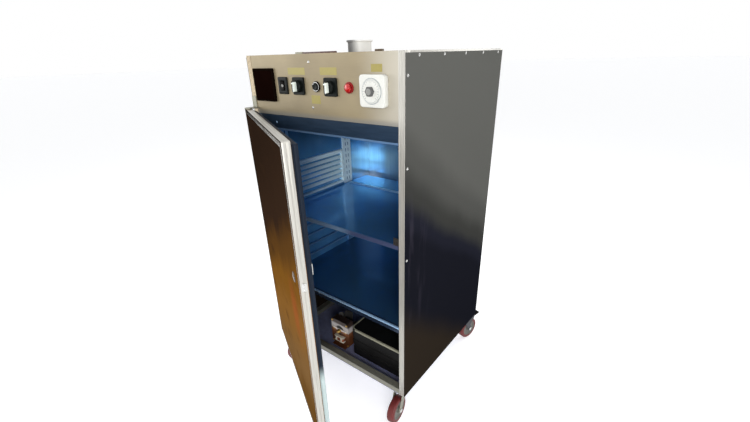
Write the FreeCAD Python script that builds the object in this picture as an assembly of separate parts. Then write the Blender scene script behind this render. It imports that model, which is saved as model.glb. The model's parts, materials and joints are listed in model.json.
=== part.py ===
"""Egg incubator cabinet on casters, with its door standing partly open.

Frame: +Z up, +X to the cabinet's right, the front looks along -Y.
Origin: on the floor, under the centre of the cabinet.  Millimetres and degrees.
"""
import math
import os

import FreeCAD
import Part

V = FreeCAD.Vector
X_AXIS, Y_AXIS, Z_AXIS = V(1, 0, 0), V(0, 1, 0), V(0, 0, 1)

# ---------------------------------------------------------------- cabinet
WIDTH = 610.0               # outside, over the corner posts
DEPTH = 590.0
CABINET_HEIGHT = 1100.0     # base pan to top trim
GROUND_CLEARANCE = 138.0    # floor to base pan
WALL = 21.0                 # post leg, and the wall that it caps
POST_METAL = 2.0            # aluminium angle
POST_GROOVE = 2.6           # decorative groove in the post's front leg
GROOVE_INSET = 6.5          # from the post's outer corner to the groove
SKIN = 1.0                  # outer steel skin
SKIN_TOP_GAP = 5.0          # trim left bare over a side skin
SKIN_BACK_GAP = 3.0         # post left bare behind a side skin
LINER = 1.0                 # inner steel liner
BASE_TUBE_H = 20.0          # base frame tube
BASE_TUBE_W = 25.0
TUBE_METAL = 2.0
PAN_METAL = 2.0

# ---------------------------------------------------------------- levels above the base pan's underside
CHAMBER_FLOOR_TOP = 292.0
CHAMBER_FLOOR_T = 20.0
FASCIA_H = 173.0            # control panel, up to the top of the cabinet
FASCIA_BOTTOM = CABINET_HEIGHT - FASCIA_H
HEADER_H = 47.0             # rail under the control panel
CEILING_BOTTOM = FASCIA_BOTTOM - HEADER_H
FAN_DROP = 135.0            # circulation fan's middle, under the ceiling
FAN_Z = CEILING_BOTTOM - FAN_DROP
SHELF_UNDER_FAN = 165.0
SHELF_TOP = FAN_Z - SHELF_UNDER_FAN
CEILING_T = 20.0
HEADER_DEPTH = 20.0

# ---------------------------------------------------------------- side wall fittings
UPRIGHT_T = 8.0             # how far a slotted upright stands off the liner
UPRIGHT_W = 46.0
UPRIGHT_INSETS = (60.0, 392.0)      # from the front plane to each upright's near edge
UPRIGHT_END_GAP = 6.0       # above the chamber floor and below the ceiling
SLOT_PITCH = 25.0
SLOT_L = 14.0
SLOT_W = 5.0
BRACKET_REACH = 14.0
BRACKET_H = 10.0
BRACKET_METAL = 2.0
RAIL_SECTION = 6.0          # tray rails of the lower chamber
RAIL_FIRST = 325.0
RAIL_PITCH = 45.0
LOUVRE_PITCH = 20.6
LOUVRE_COUNT = 7
LOUVRE_BLADE = 11.0
LOUVRE_METAL = 1.2
LOUVRE_TILT = 35.0
LOUVRE_DEPTH = 12.0         # panel face to liner
LOUVRE_RIM = 8.0
LOUVRE_LIFT = 8.0           # above the shelf

# ---------------------------------------------------------------- shelf
SHELF_METAL = 1.5
SHELF_HEM = 16.0
SHELF_RETURN = 10.0
SHELF_SIDE_GAP = 2.0        # shelf edge to upright
SHELF_FRONT_INSET = 20.0    # from the front plane
SHELF_BACK_INSET = 35.0     # from the back liner
REST_GAP = 0.2              # shelf above its brackets

# ---------------------------------------------------------------- control panel
FASCIA_METAL = 1.5
FASCIA_SETBACK = 1.0
FASCIA_FLANGE = 19.0
FASCIA_HEM_H = 6.0
FASCIA_HEM_T = 0.8
PANEL_ROW_DROP = 85.0       # row of switches, under the cabinet's top
PANEL_CENTRE_Z = CABINET_HEIGHT - PANEL_ROW_DROP
CONTROLLER_INSET = 80.0     # controller's middle, from the cabinet's left side
CONTROLLER_X = CONTROLLER_INSET - WIDTH / 2
CONTROLLER_FACE = 96.0
CONTROLLER_BODY = 91.5
CONTROLLER_RIM = 8.0
CONTROLLER_CORNER = 3.0
CONTROLLER_DEPTH = 78.0
WINDOW_FACE = 84.0
WINDOW_T = 1.5
ROCKER_CUT_GAP = 1.0
CUTOUT_GAP = 0.25
ROCKER_PITCH = 87.0         # from the controller's middle
ROCKER_X = CONTROLLER_X + ROCKER_PITCH
ROCKER_FRAME = 41.0
ROCKER_FRAME_T = 5.0
PLATE_CORNER = 4.0          # switch plates
ROCKER_W = 17.0
ROCKER_L = 25.0
ROCKER_GAP = 0.5
ROCKER_PROUD = 2.5
ROCKER_DISH = 1.5
ROCKER_SINK = 0.6           # rocker's back, in front of the panel's face
ROCKER_TAPER = 0.82
ROCKER_PIN_R = 1.2
ROCKER_PIN_REACH = 2.0      # pivot pin inside each side of the frame
SELECTOR_PITCH = 70.0       # from the rocker to the left selector
RIGHT_SELECTOR_X = 61.0
SELECTOR_XS = (ROCKER_X + SELECTOR_PITCH, RIGHT_SELECTOR_X)
SELECTOR_PLATE = 48.0
SELECTOR_PLATE_T = 6.0
SELECTOR_R = 17.0
SELECTOR_H = 9.0
SELECTOR_GRIP_W = 9.0
SELECTOR_GRIP_H = 12.0
GRIP_INSET = 1.0
GRIP_CORNER = 3.0
PANEL_BORE_R = 11.1         # 22 mm class mounting hole
BEZEL_BARREL_R = 10.9
BUTTON_X = 4.0
PILOT_X = 127.0
BEZEL_R = 14.5
BEZEL_T = 5.0
BEZEL_BARREL_L = 30.0
BUTTON_R = 9.5
BUTTON_PROUD = 4.0
BUTTON_STEM = 4.0
PILOT_R = 10.6
PILOT_H = 8.0
LENS_SEAT = 2.0
LENS_DOME = 4.4
REGULATOR_INSET = 90.0      # regulator's middle, from the cabinet's right side
REGULATOR_X = WIDTH / 2 - REGULATOR_INSET
REGULATOR_DROP = 90.0       # under the cabinet's top
REGULATOR_Z = CABINET_HEIGHT - REGULATOR_DROP
REGULATOR_W = 80.0
REGULATOR_H = 78.0
REGULATOR_T = 18.0
REGULATOR_CORNER = 9.0
DIAL_R = 29.0
DIAL_T = 4.0
DIAL_HUB_R = 12.5
DIAL_HUB_T = 9.0
SPINDLE_R = 3.0
SPINDLE_GAP = 0.05
SPINDLE_L = 6.0
KNOB_LIFT = 0.4             # knob above its plate

# ---------------------------------------------------------------- fan, heater, sensor
FAN_X = 60.0
FAN_MOTOR_R = 36.0
FAN_MOTOR_OUTSIDE = 30.0    # behind the back panel
FAN_MOTOR_INSIDE = 14.0     # in front of the back liner
FAN_SHAFT_R = 4.0
FAN_SHAFT_L = 26.0
FAN_SHAFT_END = 2.0         # shaft past the fan's hub
FAN_HUB_R = 14.0
FAN_HUB_T = 12.0
FAN_R = 82.0
FAN_BLADES = 5
FAN_BLADE_T = 1.6
FAN_BLADE_PITCH = 28.0
HEATER_R = 104.0
HEATER_TUBE_R = 4.2
HEATER_STANDOFF = 22.0
HEATER_TAIL_X = 14.0        # each heater tail from the fan's middle
GUARD_R = 130.0
GUARD_WIRE_R = 1.8
GUARD_STANDOFF = 62.0
GUARD_RINGS = 4
GUARD_SPOKES = 6
GUARD_SPOKE_END = 4.0       # spoke past the first and last ring
GUARD_LEG_R = 2.6
SENSOR_SIDE_GAP = 100.0        # sensor's middle, in from the cabinet's side
SENSOR_X = WIDTH / 2 - SENSOR_SIDE_GAP
SENSOR_BACK_GAP = 24.0      # sensor's middle, in front of the back liner
SENSOR_R = 3.0
SENSOR_L = 95.0
SENSOR_COLLAR_R = 7.5
SENSOR_COLLAR_H = 9.0

# ---------------------------------------------------------------- machine bay
BLOWER_X = -56.0
BLOWER_INSET = 84.0         # front plane to the middle of the lamination stack
STACK_W = 92.0
STACK_H = 118.0
STACK_T = 32.0
STACK_CORNER = 12.0
STACK_LEG = 20.0
COIL_WINDOW_H = 28.0
ROTOR_R = 22.0
COIL_W = 46.0
COIL_OVERHANG = 12.0
BOBBIN_T = 2.5
BLOWER_FOOT_T = 3.0
BLOWER_FOOT_W = 70.0
BLOWER_FOOT_L = 60.0
BLOWER_SHAFT_R = 3.0
BLOWER_SHAFT_L = 46.0
BLOWER_FAN_R = 62.0
BLOWER_FAN_BLADES = 5
BLOWER_FAN_OFFSET = 8.0     # rear bearing to the fan's hub
BLOWER_HUB_R = 11.0
BLOWER_HUB_L = 14.0
ROTOR_GAP = 0.5
ROTOR_END_GAP = 1.0
BEARING_R = 8.0
BEARING_L = 11.0
BRIDGE_T = 3.0
CUP_STEP = 0.6              # bearing cup inside the bridge's width
CUP_FLOOR = 2.0
TANK_LEFT = 14.0            # tank's left side, from the cabinet's middle
TANK_INSET = 62.0
TANK_SIDE_GAP = 41.0        # from the tank to the cabinet's right side
TANK_W = WIDTH / 2 - TANK_SIDE_GAP - TANK_LEFT
TANK_D = 200.0
TANK_H = 118.0
TANK_METAL = 2.0
TANK_LID_T = 9.0
TANK_LID_OVERHANG = 3.0
SPOUT_R = 22.0
SPOUT_H = 14.0
INLET_INSET = 90.0          # inlet's middle, from the cabinet's right side
INLET_X = WIDTH / 2 - INLET_INSET
INLET_NECK_R = 8.0          # neck for the wires, through the back panel
INLET_NECK_L = 12.0
INLET_Z = 90.0
INLET_W = 48.0
INLET_H = 30.0
INLET_BODY = 25.0
INLET_FLANGE = 4.0
VENT_SLOTS = 6
VENT_SLOT_L = 90.0
VENT_SLOT_W = 5.0
VENT_SLOT_PITCH = 16.0
VENT_FIRST = 120.0

# ---------------------------------------------------------------- top
STACK_PIPE_X = -41.0
STACK_PIPE_INSET = 250.0
STACK_PIPE_R = 38.0
STACK_PIPE_WALL = 3.0
STACK_PIPE_PROUD = 36.0
STACK_RIM_R = 42.0
STACK_RIM_H = 5.0

# ---------------------------------------------------------------- door
DOOR_OPEN = 28.5            # degrees, as it stands
DOOR_BOTTOM = 38.0
DOOR_LAP = 15.0             # door over the foot of the control panel
DOOR_TOP = FASCIA_BOTTOM + DOOR_LAP
DOOR_SKIN = 1.5
DOOR_CORE = 18.0
DOOR_EDGE_W = 12.0
GASKET_T = 15.5
GASKET_W = 12.0
GASKET_INSET = 8.0          # from the door's side edges
GASKET_GAP = 0.5            # gasket to the posts with the door shut
HINGE_INSET = 6.0           # hinge axis from the door's hinge edge
PIN_R = 3.0
PIN_CLEARANCE = 0.05
PIN_L = 11.0
HINGE_PLATE_T = 3.0
HINGE_PLATE_W = 30.0
HINGE_FLANGE_H = 34.0
HINGE_FLANGE_T = 2.0
HINGE_GAP = 1.0             # hinge plate to the door
LOCK_Z = 600.0
LOCK_INSET = 59.0           # from the door's free edge
LOCK_R = 11.0
LOCK_FLANGE_R = 14.0
LOCK_FLANGE_T = 2.0
PLUG_R = 6.0
PLUG_PROUD = 1.0
KEY_SLOT_W = 1.2
KEY_SLOT_DEPTH = 2.0
CAM_L = 28.0
CAM_W = 12.0
CAM_T = 3.0
CAM_DEPTH = 7.0             # front plane to the cam's near face
LOCK_FACE_H = 22.0
LOCK_FACE_W = 12.0
LOCK_FACE_T = 1.0
KEEPER_W = 21.0
KEEPER_H = 24.0
KEEPER_T = 2.0
KEEPER_L = 32.0
KEEPER_INSET = 3.0

# ---------------------------------------------------------------- casters
CASTER_INSET_X = 43.0
CASTER_INSET_Y = 45.0
CASTER_PLATE = (72.0, 62.0, 3.0)
WHEEL_R = 50.0
WHEEL_W = 28.0
WHEEL_BORE_GAP = 0.05
TYRE_ROUND = 4.0
DISH_R = 34.0
DISH_DEPTH = 5.0
WHEEL_BOSS_R = 12.0
AXLE_R = 5.0
TRAIL = 38.0
KINGPIN_R = 5.0
KINGPIN_GAP = 0.05
KINGPIN_NUT_R = 9.0
KINGPIN_NUT_H = 8.0
RACE_R = 24.0
RACE_GAP = 0.3
CROWN_Z = 124.0             # underside of the fork's crown, above the floor
CROWN_T = 3.0
FORK_CROWN_W = 40.0
FORK_LEG_T = 2.5
FORK_LEG_GAP = 2.0          # wheel side to fork leg
FORK_EYE_R = 11.0
AXLE_HEAD_R = 8.0
AXLE_HEAD_T = 4.0
PEDAL_PIVOT = (60.0, 112.0)         # along the trail, and above the floor
PEDAL_PIN_R = 3.0
PEDAL_REACH = 48.0
PEDAL_T = 5.0
PEDAL_DROP = 2.0
PEDAL_EAR = 6.0             # fork's ear past the pedal's pin
PEDAL_SIDE_GAP = 1.0
# each caster: name, side, end, heading of its wheel in degrees about +Z from +X
CASTERS = (
    ("front_left", -1, -1, 262.0),
    ("front_right", 1, -1, 276.0),
    ("rear_left", -1, 1, 97.0),
    ("rear_right", 1, 1, 76.0),
)
BRAKED = ("rear_left", "rear_right")

# ---------------------------------------------------------------- fasteners
SCREW_R = 4.0
SCREW_H = 1.6
SIDE_SCREW_BACK = 40.0
SIDE_SCREW_INSETS = (60.0, 185.0, 311.0, 431.0, DEPTH - SIDE_SCREW_BACK)
SIDE_SCREW_DROPS = (555.0, 280.0, 54.0)     # under the cabinet's top
FASCIA_SCREWS = ((-21.0, 152.0), (-19.0, 30.0))     # x, and height over the panel's foot

# ---------------------------------------------------------------- derived planes
LEFT, RIGHT = -WIDTH / 2, WIDTH / 2
FRONT, BACK = -DEPTH / 2, DEPTH / 2
BASE = GROUND_CLEARANCE
TOP = BASE + CABINET_HEIGHT
INNER_FRONT = FRONT + POST_METAL
INNER_BACK = BACK - POST_METAL
POST_X = WIDTH / 2 - SKIN                   # outer face of a post, under the side skin
INSIDE_X = POST_X - POST_METAL              # inner face of a post
LINER_X = WIDTH / 2 - WALL                  # inner face of a side liner
LINER_BACK = BACK - WALL                    # inner face of the back liner
PAN_TOP = BASE + PAN_METAL
FASCIA_FRONT = FRONT + FASCIA_SETBACK
DOOR_INNER = FRONT - GASKET_GAP - GASKET_T
DOOR_T = 2 * DOOR_SKIN + DOOR_CORE
DOOR_OUTER = DOOR_INNER - DOOR_T
HINGE_X = LEFT + HINGE_INSET
HINGE_Y = DOOR_INNER - DOOR_T / 2


def block(x0, x1, y0, y1, z0, z1):
    """Box between two corners."""
    return Part.makeBox(x1 - x0, y1 - y0, z1 - z0, V(x0, y0, z0))


def rod(x, y, z, radius, length, axis=Z_AXIS):
    """Cylinder from a point along an axis."""
    return Part.makeCylinder(radius, length, V(x, y, z), axis)


def flat(points, thickness, axis):
    """Prism: a closed outline moved along an axis."""
    wire = Part.makePolygon([V(*p) for p in points] + [V(*points[0])])
    return Part.Face(wire).extrude(axis * thickness)


def rounded(shape, radius, axis):
    """Round the edges of a prism that run along one axis."""
    edges = [e for e in shape.Edges if abs(abs(e.tangentAt(e.FirstParameter).dot(axis)) - 1) < 1e-6]
    return shape.makeFillet(radius, edges)


def plate_on(x, z, width, height, y_front, thickness, corner=0.0):
    """Upright plate centred on (x, z), from its front face backwards."""
    plate = block(x - width / 2, x + width / 2, y_front, y_front + thickness, z - height / 2, z + height / 2)
    return rounded(plate, corner, Y_AXIS) if corner else plate


def mirrored(shape):
    """The same piece on the cabinet's other side."""
    return shape.mirror(V(0, 0, 0), X_AXIS)


def save(node, *solids):
    """Write one node, as one solid or as a group of separate solids."""
    shape = solids[0] if len(solids) == 1 else Part.makeCompound(list(solids))
    shape.exportStep("parts/" + node + ".step")


# ================================================================ cabinet
def corner_post(side, end):
    """Aluminium angle at one vertical edge; the front ones carry a groove."""
    outer_x, outer_y = side * POST_X, end * DEPTH / 2
    leg_x, leg_y = side * LINER_X, outer_y - end * WALL
    thin_x, thin_y = outer_x - side * POST_METAL, outer_y - end * POST_METAL
    outline = [(outer_x, outer_y, BASE), (leg_x, outer_y, BASE), (leg_x, thin_y, BASE),
               (thin_x, thin_y, BASE), (thin_x, leg_y, BASE), (outer_x, leg_y, BASE)]
    post = flat(outline, CABINET_HEIGHT, Z_AXIS)
    if end < 0:
        groove_x = outer_x - side * (GROOVE_INSET + POST_GROOVE / 2)
        post = post.cut(block(groove_x - POST_GROOVE / 2, groove_x + POST_GROOVE / 2,
                              outer_y, outer_y + POST_METAL / 2, BASE, TOP))
    return post


def top_trim(side):
    """Angle along the top edge of one side."""
    outer_x = side * POST_X
    outline = [(outer_x, FRONT + WALL, TOP), (side * LINER_X, FRONT + WALL, TOP),
               (side * LINER_X, FRONT + WALL, TOP - POST_METAL),
               (outer_x - side * POST_METAL, FRONT + WALL, TOP - POST_METAL),
               (outer_x - side * POST_METAL, FRONT + WALL, TOP - WALL), (outer_x, FRONT + WALL, TOP - WALL)]
    return flat(outline, DEPTH - 2 * WALL, Y_AXIS)


def rear_top_trim():
    """Angle along the top edge of the back."""
    x = LEFT + WALL
    outline = [(x, BACK, TOP), (x, BACK - WALL, TOP), (x, BACK - WALL, TOP - POST_METAL),
               (x, INNER_BACK, TOP - POST_METAL), (x, INNER_BACK, TOP - WALL), (x, BACK, TOP - WALL)]
    return flat(outline, WIDTH - 2 * WALL, X_AXIS)


def hollow_tube(x0, x1, y0, y1, z0, z1, along):
    """Rectangular tube, open at its two ends."""
    m = TUBE_METAL
    outer = block(x0, x1, y0, y1, z0, z1)
    if along == "x":
        return outer.cut(block(x0, x1, y0 + m, y1 - m, z0 + m, z1 - m))
    return outer.cut(block(x0 + m, x1 - m, y0, y1, z0 + m, z1 - m))


def base_frame():
    """Four tubes on the base pan."""
    z0, z1 = PAN_TOP, PAN_TOP + BASE_TUBE_H
    front_end, back_end = INNER_FRONT + BASE_TUBE_W, INNER_BACK - SKIN - BASE_TUBE_W
    tubes = [hollow_tube(-INSIDE_X, INSIDE_X, INNER_FRONT, front_end, z0, z1, "x"),
             hollow_tube(-INSIDE_X, INSIDE_X, back_end, INNER_BACK - SKIN, z0, z1, "x")]
    side = hollow_tube(INSIDE_X - BASE_TUBE_W, INSIDE_X, front_end, back_end, z0, z1, "y")
    return tubes + [side, mirrored(side)]


def back_panel():
    """Rear steel skin with the bay's louvre slots and the holes for the fan motor and the inlet."""
    panel = block(-INSIDE_X, INSIDE_X, INNER_BACK - SKIN, INNER_BACK, PAN_TOP, TOP - POST_METAL - SKIN)
    cuts = [fan_bore(), inlet_bore()]
    for column in (-1, 1):
        centre = column * VENT_SLOT_L * 0.75 - VENT_SLOT_L / 2
        for row in range(VENT_SLOTS):
            z = BASE + VENT_FIRST + row * VENT_SLOT_PITCH
            cuts.append(block(centre - VENT_SLOT_L / 2, centre + VENT_SLOT_L / 2,
                              INNER_BACK - 2 * SKIN, BACK, z, z + VENT_SLOT_W))
    return panel.cut(cuts)


def fan_bore():
    """Hole through the back wall for the fan motor."""
    return rod(FAN_X, LINER_BACK - SKIN, BASE + FAN_Z, FAN_MOTOR_R + CUTOUT_GAP, 2 * WALL, Y_AXIS)


def inlet_bore():
    """Hole through the back panel for the power inlet."""
    return rod(INLET_X, LINER_BACK, BASE + INLET_Z, INLET_NECK_R + CUTOUT_GAP, 2 * WALL, Y_AXIS)


def heater_bores():
    """Two holes in the back liner and its insulation for the heater's tails."""
    return [rod(x, LINER_BACK - SKIN, BASE + FAN_Z - HEATER_R * math.cos(math.asin(HEATER_TAIL_X / HEATER_R)),
                HEATER_TUBE_R + CUTOUT_GAP, WALL, Y_AXIS)
            for x in (FAN_X - HEATER_TAIL_X, FAN_X + HEATER_TAIL_X)]


def pipe_bore(radius, z0, z1):
    """Round hole for the vent stack."""
    return rod(STACK_PIPE_X, FRONT + STACK_PIPE_INSET, z0, radius, z1 - z0)


def cabinet():
    posts = {(s, e): corner_post(s, e) for s in (-1, 1) for e in (-1, 1)}
    save("corner_posts", *posts.values())
    save("top_trims", top_trim(-1), top_trim(1), rear_top_trim())
    save("base_frame", *base_frame())
    pan = block(-INSIDE_X, INSIDE_X, INNER_FRONT, INNER_BACK, BASE, PAN_TOP)
    save("base_pan", pan)
    skin_top = TOP - POST_METAL - SKIN
    side = block(POST_X, RIGHT, FRONT, BACK - SKIN_BACK_GAP, BASE, TOP - SKIN_TOP_GAP)
    save("side_panels", side, mirrored(side))
    save("back_panel", back_panel())
    top = block(-INSIDE_X, INSIDE_X, FASCIA_FRONT + FASCIA_METAL, INNER_BACK, skin_top, TOP - POST_METAL)
    save("top_panel", top.cut(pipe_bore(STACK_PIPE_R + CUTOUT_GAP, skin_top - SKIN, TOP)))


# ================================================================ chamber
def chamber():
    floor_z, ceiling_z = BASE + CHAMBER_FLOOR_TOP, BASE + CEILING_BOTTOM
    outer_liner = LINER_X + LINER
    back_liner = LINER_BACK + LINER
    inner_skin_back = INNER_BACK - SKIN

    side_fill = block(outer_liner, INSIDE_X, INNER_FRONT, back_liner, floor_z, ceiling_z)
    back_fill = block(-INSIDE_X, INSIDE_X, back_liner, inner_skin_back, floor_z, ceiling_z)
    back_fill = back_fill.cut([fan_bore()] + heater_bores())
    save("wall_insulation", side_fill, mirrored(side_fill), back_fill)

    side_liner = block(LINER_X, outer_liner, INNER_FRONT, LINER_BACK, floor_z, ceiling_z)
    back_sheet = block(-outer_liner, outer_liner, LINER_BACK, back_liner, floor_z, ceiling_z)
    save("chamber_liner", side_liner, mirrored(side_liner), back_sheet.cut([fan_bore()] + heater_bores()))

    floor = block(-INSIDE_X, INSIDE_X, INNER_FRONT, inner_skin_back, floor_z - CHAMBER_FLOOR_T, floor_z)
    save("chamber_floor", floor)
    header_back = INNER_FRONT + HEADER_DEPTH
    ceiling = block(-INSIDE_X, INSIDE_X, header_back, inner_skin_back, ceiling_z, ceiling_z + CEILING_T)
    stack_hole = pipe_bore(STACK_PIPE_R + CUTOUT_GAP, ceiling_z - CEILING_T, ceiling_z + 2 * CEILING_T)
    save("chamber_ceiling", ceiling.cut(stack_hole))
    save("header_rail", block(-INSIDE_X, INSIDE_X, INNER_FRONT, header_back, ceiling_z, BASE + FASCIA_BOTTOM))


def upright(inset):
    """Slotted channel against the right-hand liner."""
    z0 = BASE + CHAMBER_FLOOR_TOP + UPRIGHT_END_GAP
    z1 = BASE + CEILING_BOTTOM - UPRIGHT_END_GAP
    y0 = FRONT + inset
    channel = block(LINER_X - UPRIGHT_T, LINER_X, y0, y0 + UPRIGHT_W, z0, z1)
    metal = LOUVRE_METAL
    hollow = block(LINER_X - UPRIGHT_T + metal, LINER_X, y0 + metal, y0 + UPRIGHT_W - metal, z0, z1)
    cuts = [hollow]
    rows = int((z1 - z0 - SLOT_PITCH) / SLOT_PITCH)
    for row in range(rows):
        z = z0 + SLOT_PITCH * (row + 1)
        for third in (1, 2):
            y = y0 + UPRIGHT_W * third / 3
            cuts.append(block(LINER_X - 2 * UPRIGHT_T, LINER_X - UPRIGHT_T + 2 * metal,
                              y - SLOT_W / 2, y + SLOT_W / 2, z - SLOT_L / 2, z + SLOT_L / 2))
    return channel.cut(cuts)


def shelf_bracket(inset):
    """Small angle that hooks on an upright and carries the shelf."""
    x1 = LINER_X - UPRIGHT_T
    top = BASE + SHELF_TOP - SHELF_METAL - REST_GAP
    y0 = FRONT + inset + SLOT_W
    y1 = FRONT + inset + UPRIGHT_W - SLOT_W
    outline = [(x1, y0, top), (x1 - BRACKET_REACH, y0, top), (x1 - BRACKET_REACH, y0, top - BRACKET_METAL),
               (x1 - BRACKET_METAL, y0, top - BRACKET_METAL), (x1 - BRACKET_METAL, y0, top - BRACKET_H),
               (x1, y0, top - BRACKET_H)]
    return flat(outline, y1 - y0, Y_AXIS)


def tray_rails():
    """Horizontal rails of the lower chamber, from the front upright to the rear one."""
    x1 = LINER_X - UPRIGHT_T
    y0 = FRONT + UPRIGHT_INSETS[0]
    y1 = FRONT + UPRIGHT_INSETS[1] + UPRIGHT_W
    rails = []
    rail_count = int((SHELF_TOP - SHELF_HEM - RAIL_FIRST) / RAIL_PITCH)
    for row in range(rail_count):
        z = BASE + RAIL_FIRST + row * RAIL_PITCH
        rail = block(x1 - RAIL_SECTION, x1, y0, y1, z, z + RAIL_SECTION)
        rails += [rail, mirrored(rail)]
    return rails


def louvre_panel():
    """Air grille on the left wall: a rim with tilted blades."""
    y0 = FRONT + UPRIGHT_INSETS[0] + UPRIGHT_W + LOUVRE_RIM
    y1 = FRONT + UPRIGHT_INSETS[1] - LOUVRE_RIM
    z0 = BASE + SHELF_TOP + LOUVRE_LIFT
    z1 = z0 + LOUVRE_COUNT * LOUVRE_PITCH
    x0, x1 = -LINER_X, -LINER_X + LOUVRE_DEPTH
    rim = block(x0, x1, y0, y1, z0, z1)
    inside = block(x0, x1, y0 + LOUVRE_RIM, y1 - LOUVRE_RIM, z0 + LOUVRE_RIM / 2, z1 - LOUVRE_RIM / 2)
    panel = rim.cut(inside)
    centre_x = (x0 + x1) / 2
    for row in range(LOUVRE_COUNT):
        z = z0 + LOUVRE_PITCH * (row + 0.5)
        blade = block(centre_x - LOUVRE_BLADE / 2, centre_x + LOUVRE_BLADE / 2, y0 + LOUVRE_RIM / 2,
                      y1 - LOUVRE_RIM / 2, z - LOUVRE_METAL / 2, z + LOUVRE_METAL / 2)
        blade.rotate(V(centre_x, 0, z), Y_AXIS, LOUVRE_TILT)
        panel = panel.fuse(blade)
    return panel.removeSplitter()


def mid_shelf():
    """Folded sheet shelf, a hem at the front and one at the back."""
    half = LINER_X - UPRIGHT_T - SHELF_SIDE_GAP
    y0, y1 = FRONT + SHELF_FRONT_INSET, LINER_BACK - SHELF_BACK_INSET
    z = BASE + SHELF_TOP
    m = SHELF_METAL
    low = z - SHELF_HEM
    outline = [(-half, y0, z), (-half, y1, z), (-half, y1, low), (-half, y1 - m, low), (-half, y1 - m, z - m),
               (-half, y0 + m, z - m), (-half, y0 + m, low + m), (-half, y0 + SHELF_RETURN, low + m),
               (-half, y0 + SHELF_RETURN, low), (-half, y0, low)]
    return flat(outline, 2 * half, X_AXIS)


def chamber_fittings():
    supports = [make(inset) for inset in UPRIGHT_INSETS for make in (upright, shelf_bracket)]
    save("shelf_supports", *supports, *[mirrored(s) for s in supports])
    save("tray_rails", *tray_rails())
    save("louvre_panel", louvre_panel())
    save("mid_shelf", mid_shelf())


def fan_wheel(x, z, hub_y, hub_r, hub_t, tip_r, blades, bore_r, pitch=FAN_BLADE_PITCH):
    """Hub with flat tilted blades; the hub runs backwards from hub_y."""
    hub = rod(x, hub_y, z, hub_r, hub_t, Y_AXIS)
    middle = hub_y + hub_t / 2
    half_root, half_tip = hub_r * 0.45, tip_r * 0.30
    outline = [(x - half_root, middle, z + hub_r * 0.6), (x - half_tip, middle, z + tip_r * 0.86),
               (x - half_tip * 0.4, middle, z + tip_r * 0.98), (x + half_tip * 0.7, middle, z + tip_r * 0.95),
               (x + half_tip, middle, z + tip_r * 0.72), (x + half_root, middle, z + hub_r * 0.6)]
    blade = flat(outline, FAN_BLADE_T, Y_AXIS)
    blade.translate(V(0, -FAN_BLADE_T / 2, 0))
    blade.rotate(V(x, middle, z), Z_AXIS, pitch)
    wheel = hub
    for n in range(blades):
        turned = blade.copy()
        turned.rotate(V(x, middle, z), Y_AXIS, 360.0 * n / blades)
        wheel = wheel.fuse(turned)
    return wheel.cut(rod(x, hub_y - 1, z, bore_r, hub_t + 2, Y_AXIS))


def wire_ring(x, y, z, ring_r, wire_r):
    """Ring of square wire that faces along Y."""
    outer = rod(x, y - wire_r, z, ring_r + wire_r, 2 * wire_r, Y_AXIS)
    return outer.cut(rod(x, y - 2 * wire_r, z, ring_r - wire_r, 4 * wire_r, Y_AXIS))


def heater():
    """Tubular ring element with two tails through the back wall."""
    y = LINER_BACK - HEATER_STANDOFF
    z = BASE + FAN_Z
    gap = math.degrees(math.asin(HEATER_TAIL_X / HEATER_R))
    start = V(FAN_X + HEATER_TAIL_X, y, z - HEATER_R * math.cos(math.radians(gap)))
    end = V(FAN_X - HEATER_TAIL_X, y, start.z)
    top = V(FAN_X, y, z + HEATER_R)
    ring_path = Part.Wire([Part.Arc(start, top, end).toShape()])
    tangent = V(math.cos(math.radians(gap)), 0, math.sin(math.radians(gap)))
    profile = Part.Wire([Part.makeCircle(HEATER_TUBE_R, start, tangent)])
    ring = ring_path.makePipeShell([profile], True, False)
    element = ring
    for tail in (start, end):
        element = element.fuse(Part.makeSphere(HEATER_TUBE_R, tail))
        element = element.fuse(rod(tail.x, tail.y, tail.z, HEATER_TUBE_R, HEATER_STANDOFF + WALL / 2, Y_AXIS))
    return element


def fan_guard():
    """Wire guard: rings, spokes welded behind them and legs on the back liner."""
    y = LINER_BACK - GUARD_STANDOFF
    z = BASE + FAN_Z
    wires = [wire_ring(FAN_X, y, z, GUARD_R * (n + 1) / GUARD_RINGS, GUARD_WIRE_R) for n in range(GUARD_RINGS)]
    spoke_y = y + GUARD_WIRE_R
    first, last = GUARD_R / GUARD_RINGS - GUARD_SPOKE_END, GUARD_R + GUARD_SPOKE_END
    legs = []
    for n in range(GUARD_SPOKES):
        angle = 360.0 * (n + 0.5) / GUARD_SPOKES
        spoke = block(FAN_X + first, FAN_X + last, spoke_y - GUARD_WIRE_R, spoke_y + GUARD_WIRE_R,
                      z - GUARD_WIRE_R, z + GUARD_WIRE_R)
        leg = rod(FAN_X + GUARD_R, spoke_y + GUARD_WIRE_R, z, GUARD_LEG_R, GUARD_STANDOFF - 2 * GUARD_WIRE_R, Y_AXIS)
        spoke.rotate(V(FAN_X, 0, z), Y_AXIS, angle)
        leg.rotate(V(FAN_X, 0, z), Y_AXIS, angle)
        wires.append(spoke)
        legs.append(leg)
    return [wires[0].fuse(wires[1:])] + legs


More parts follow.
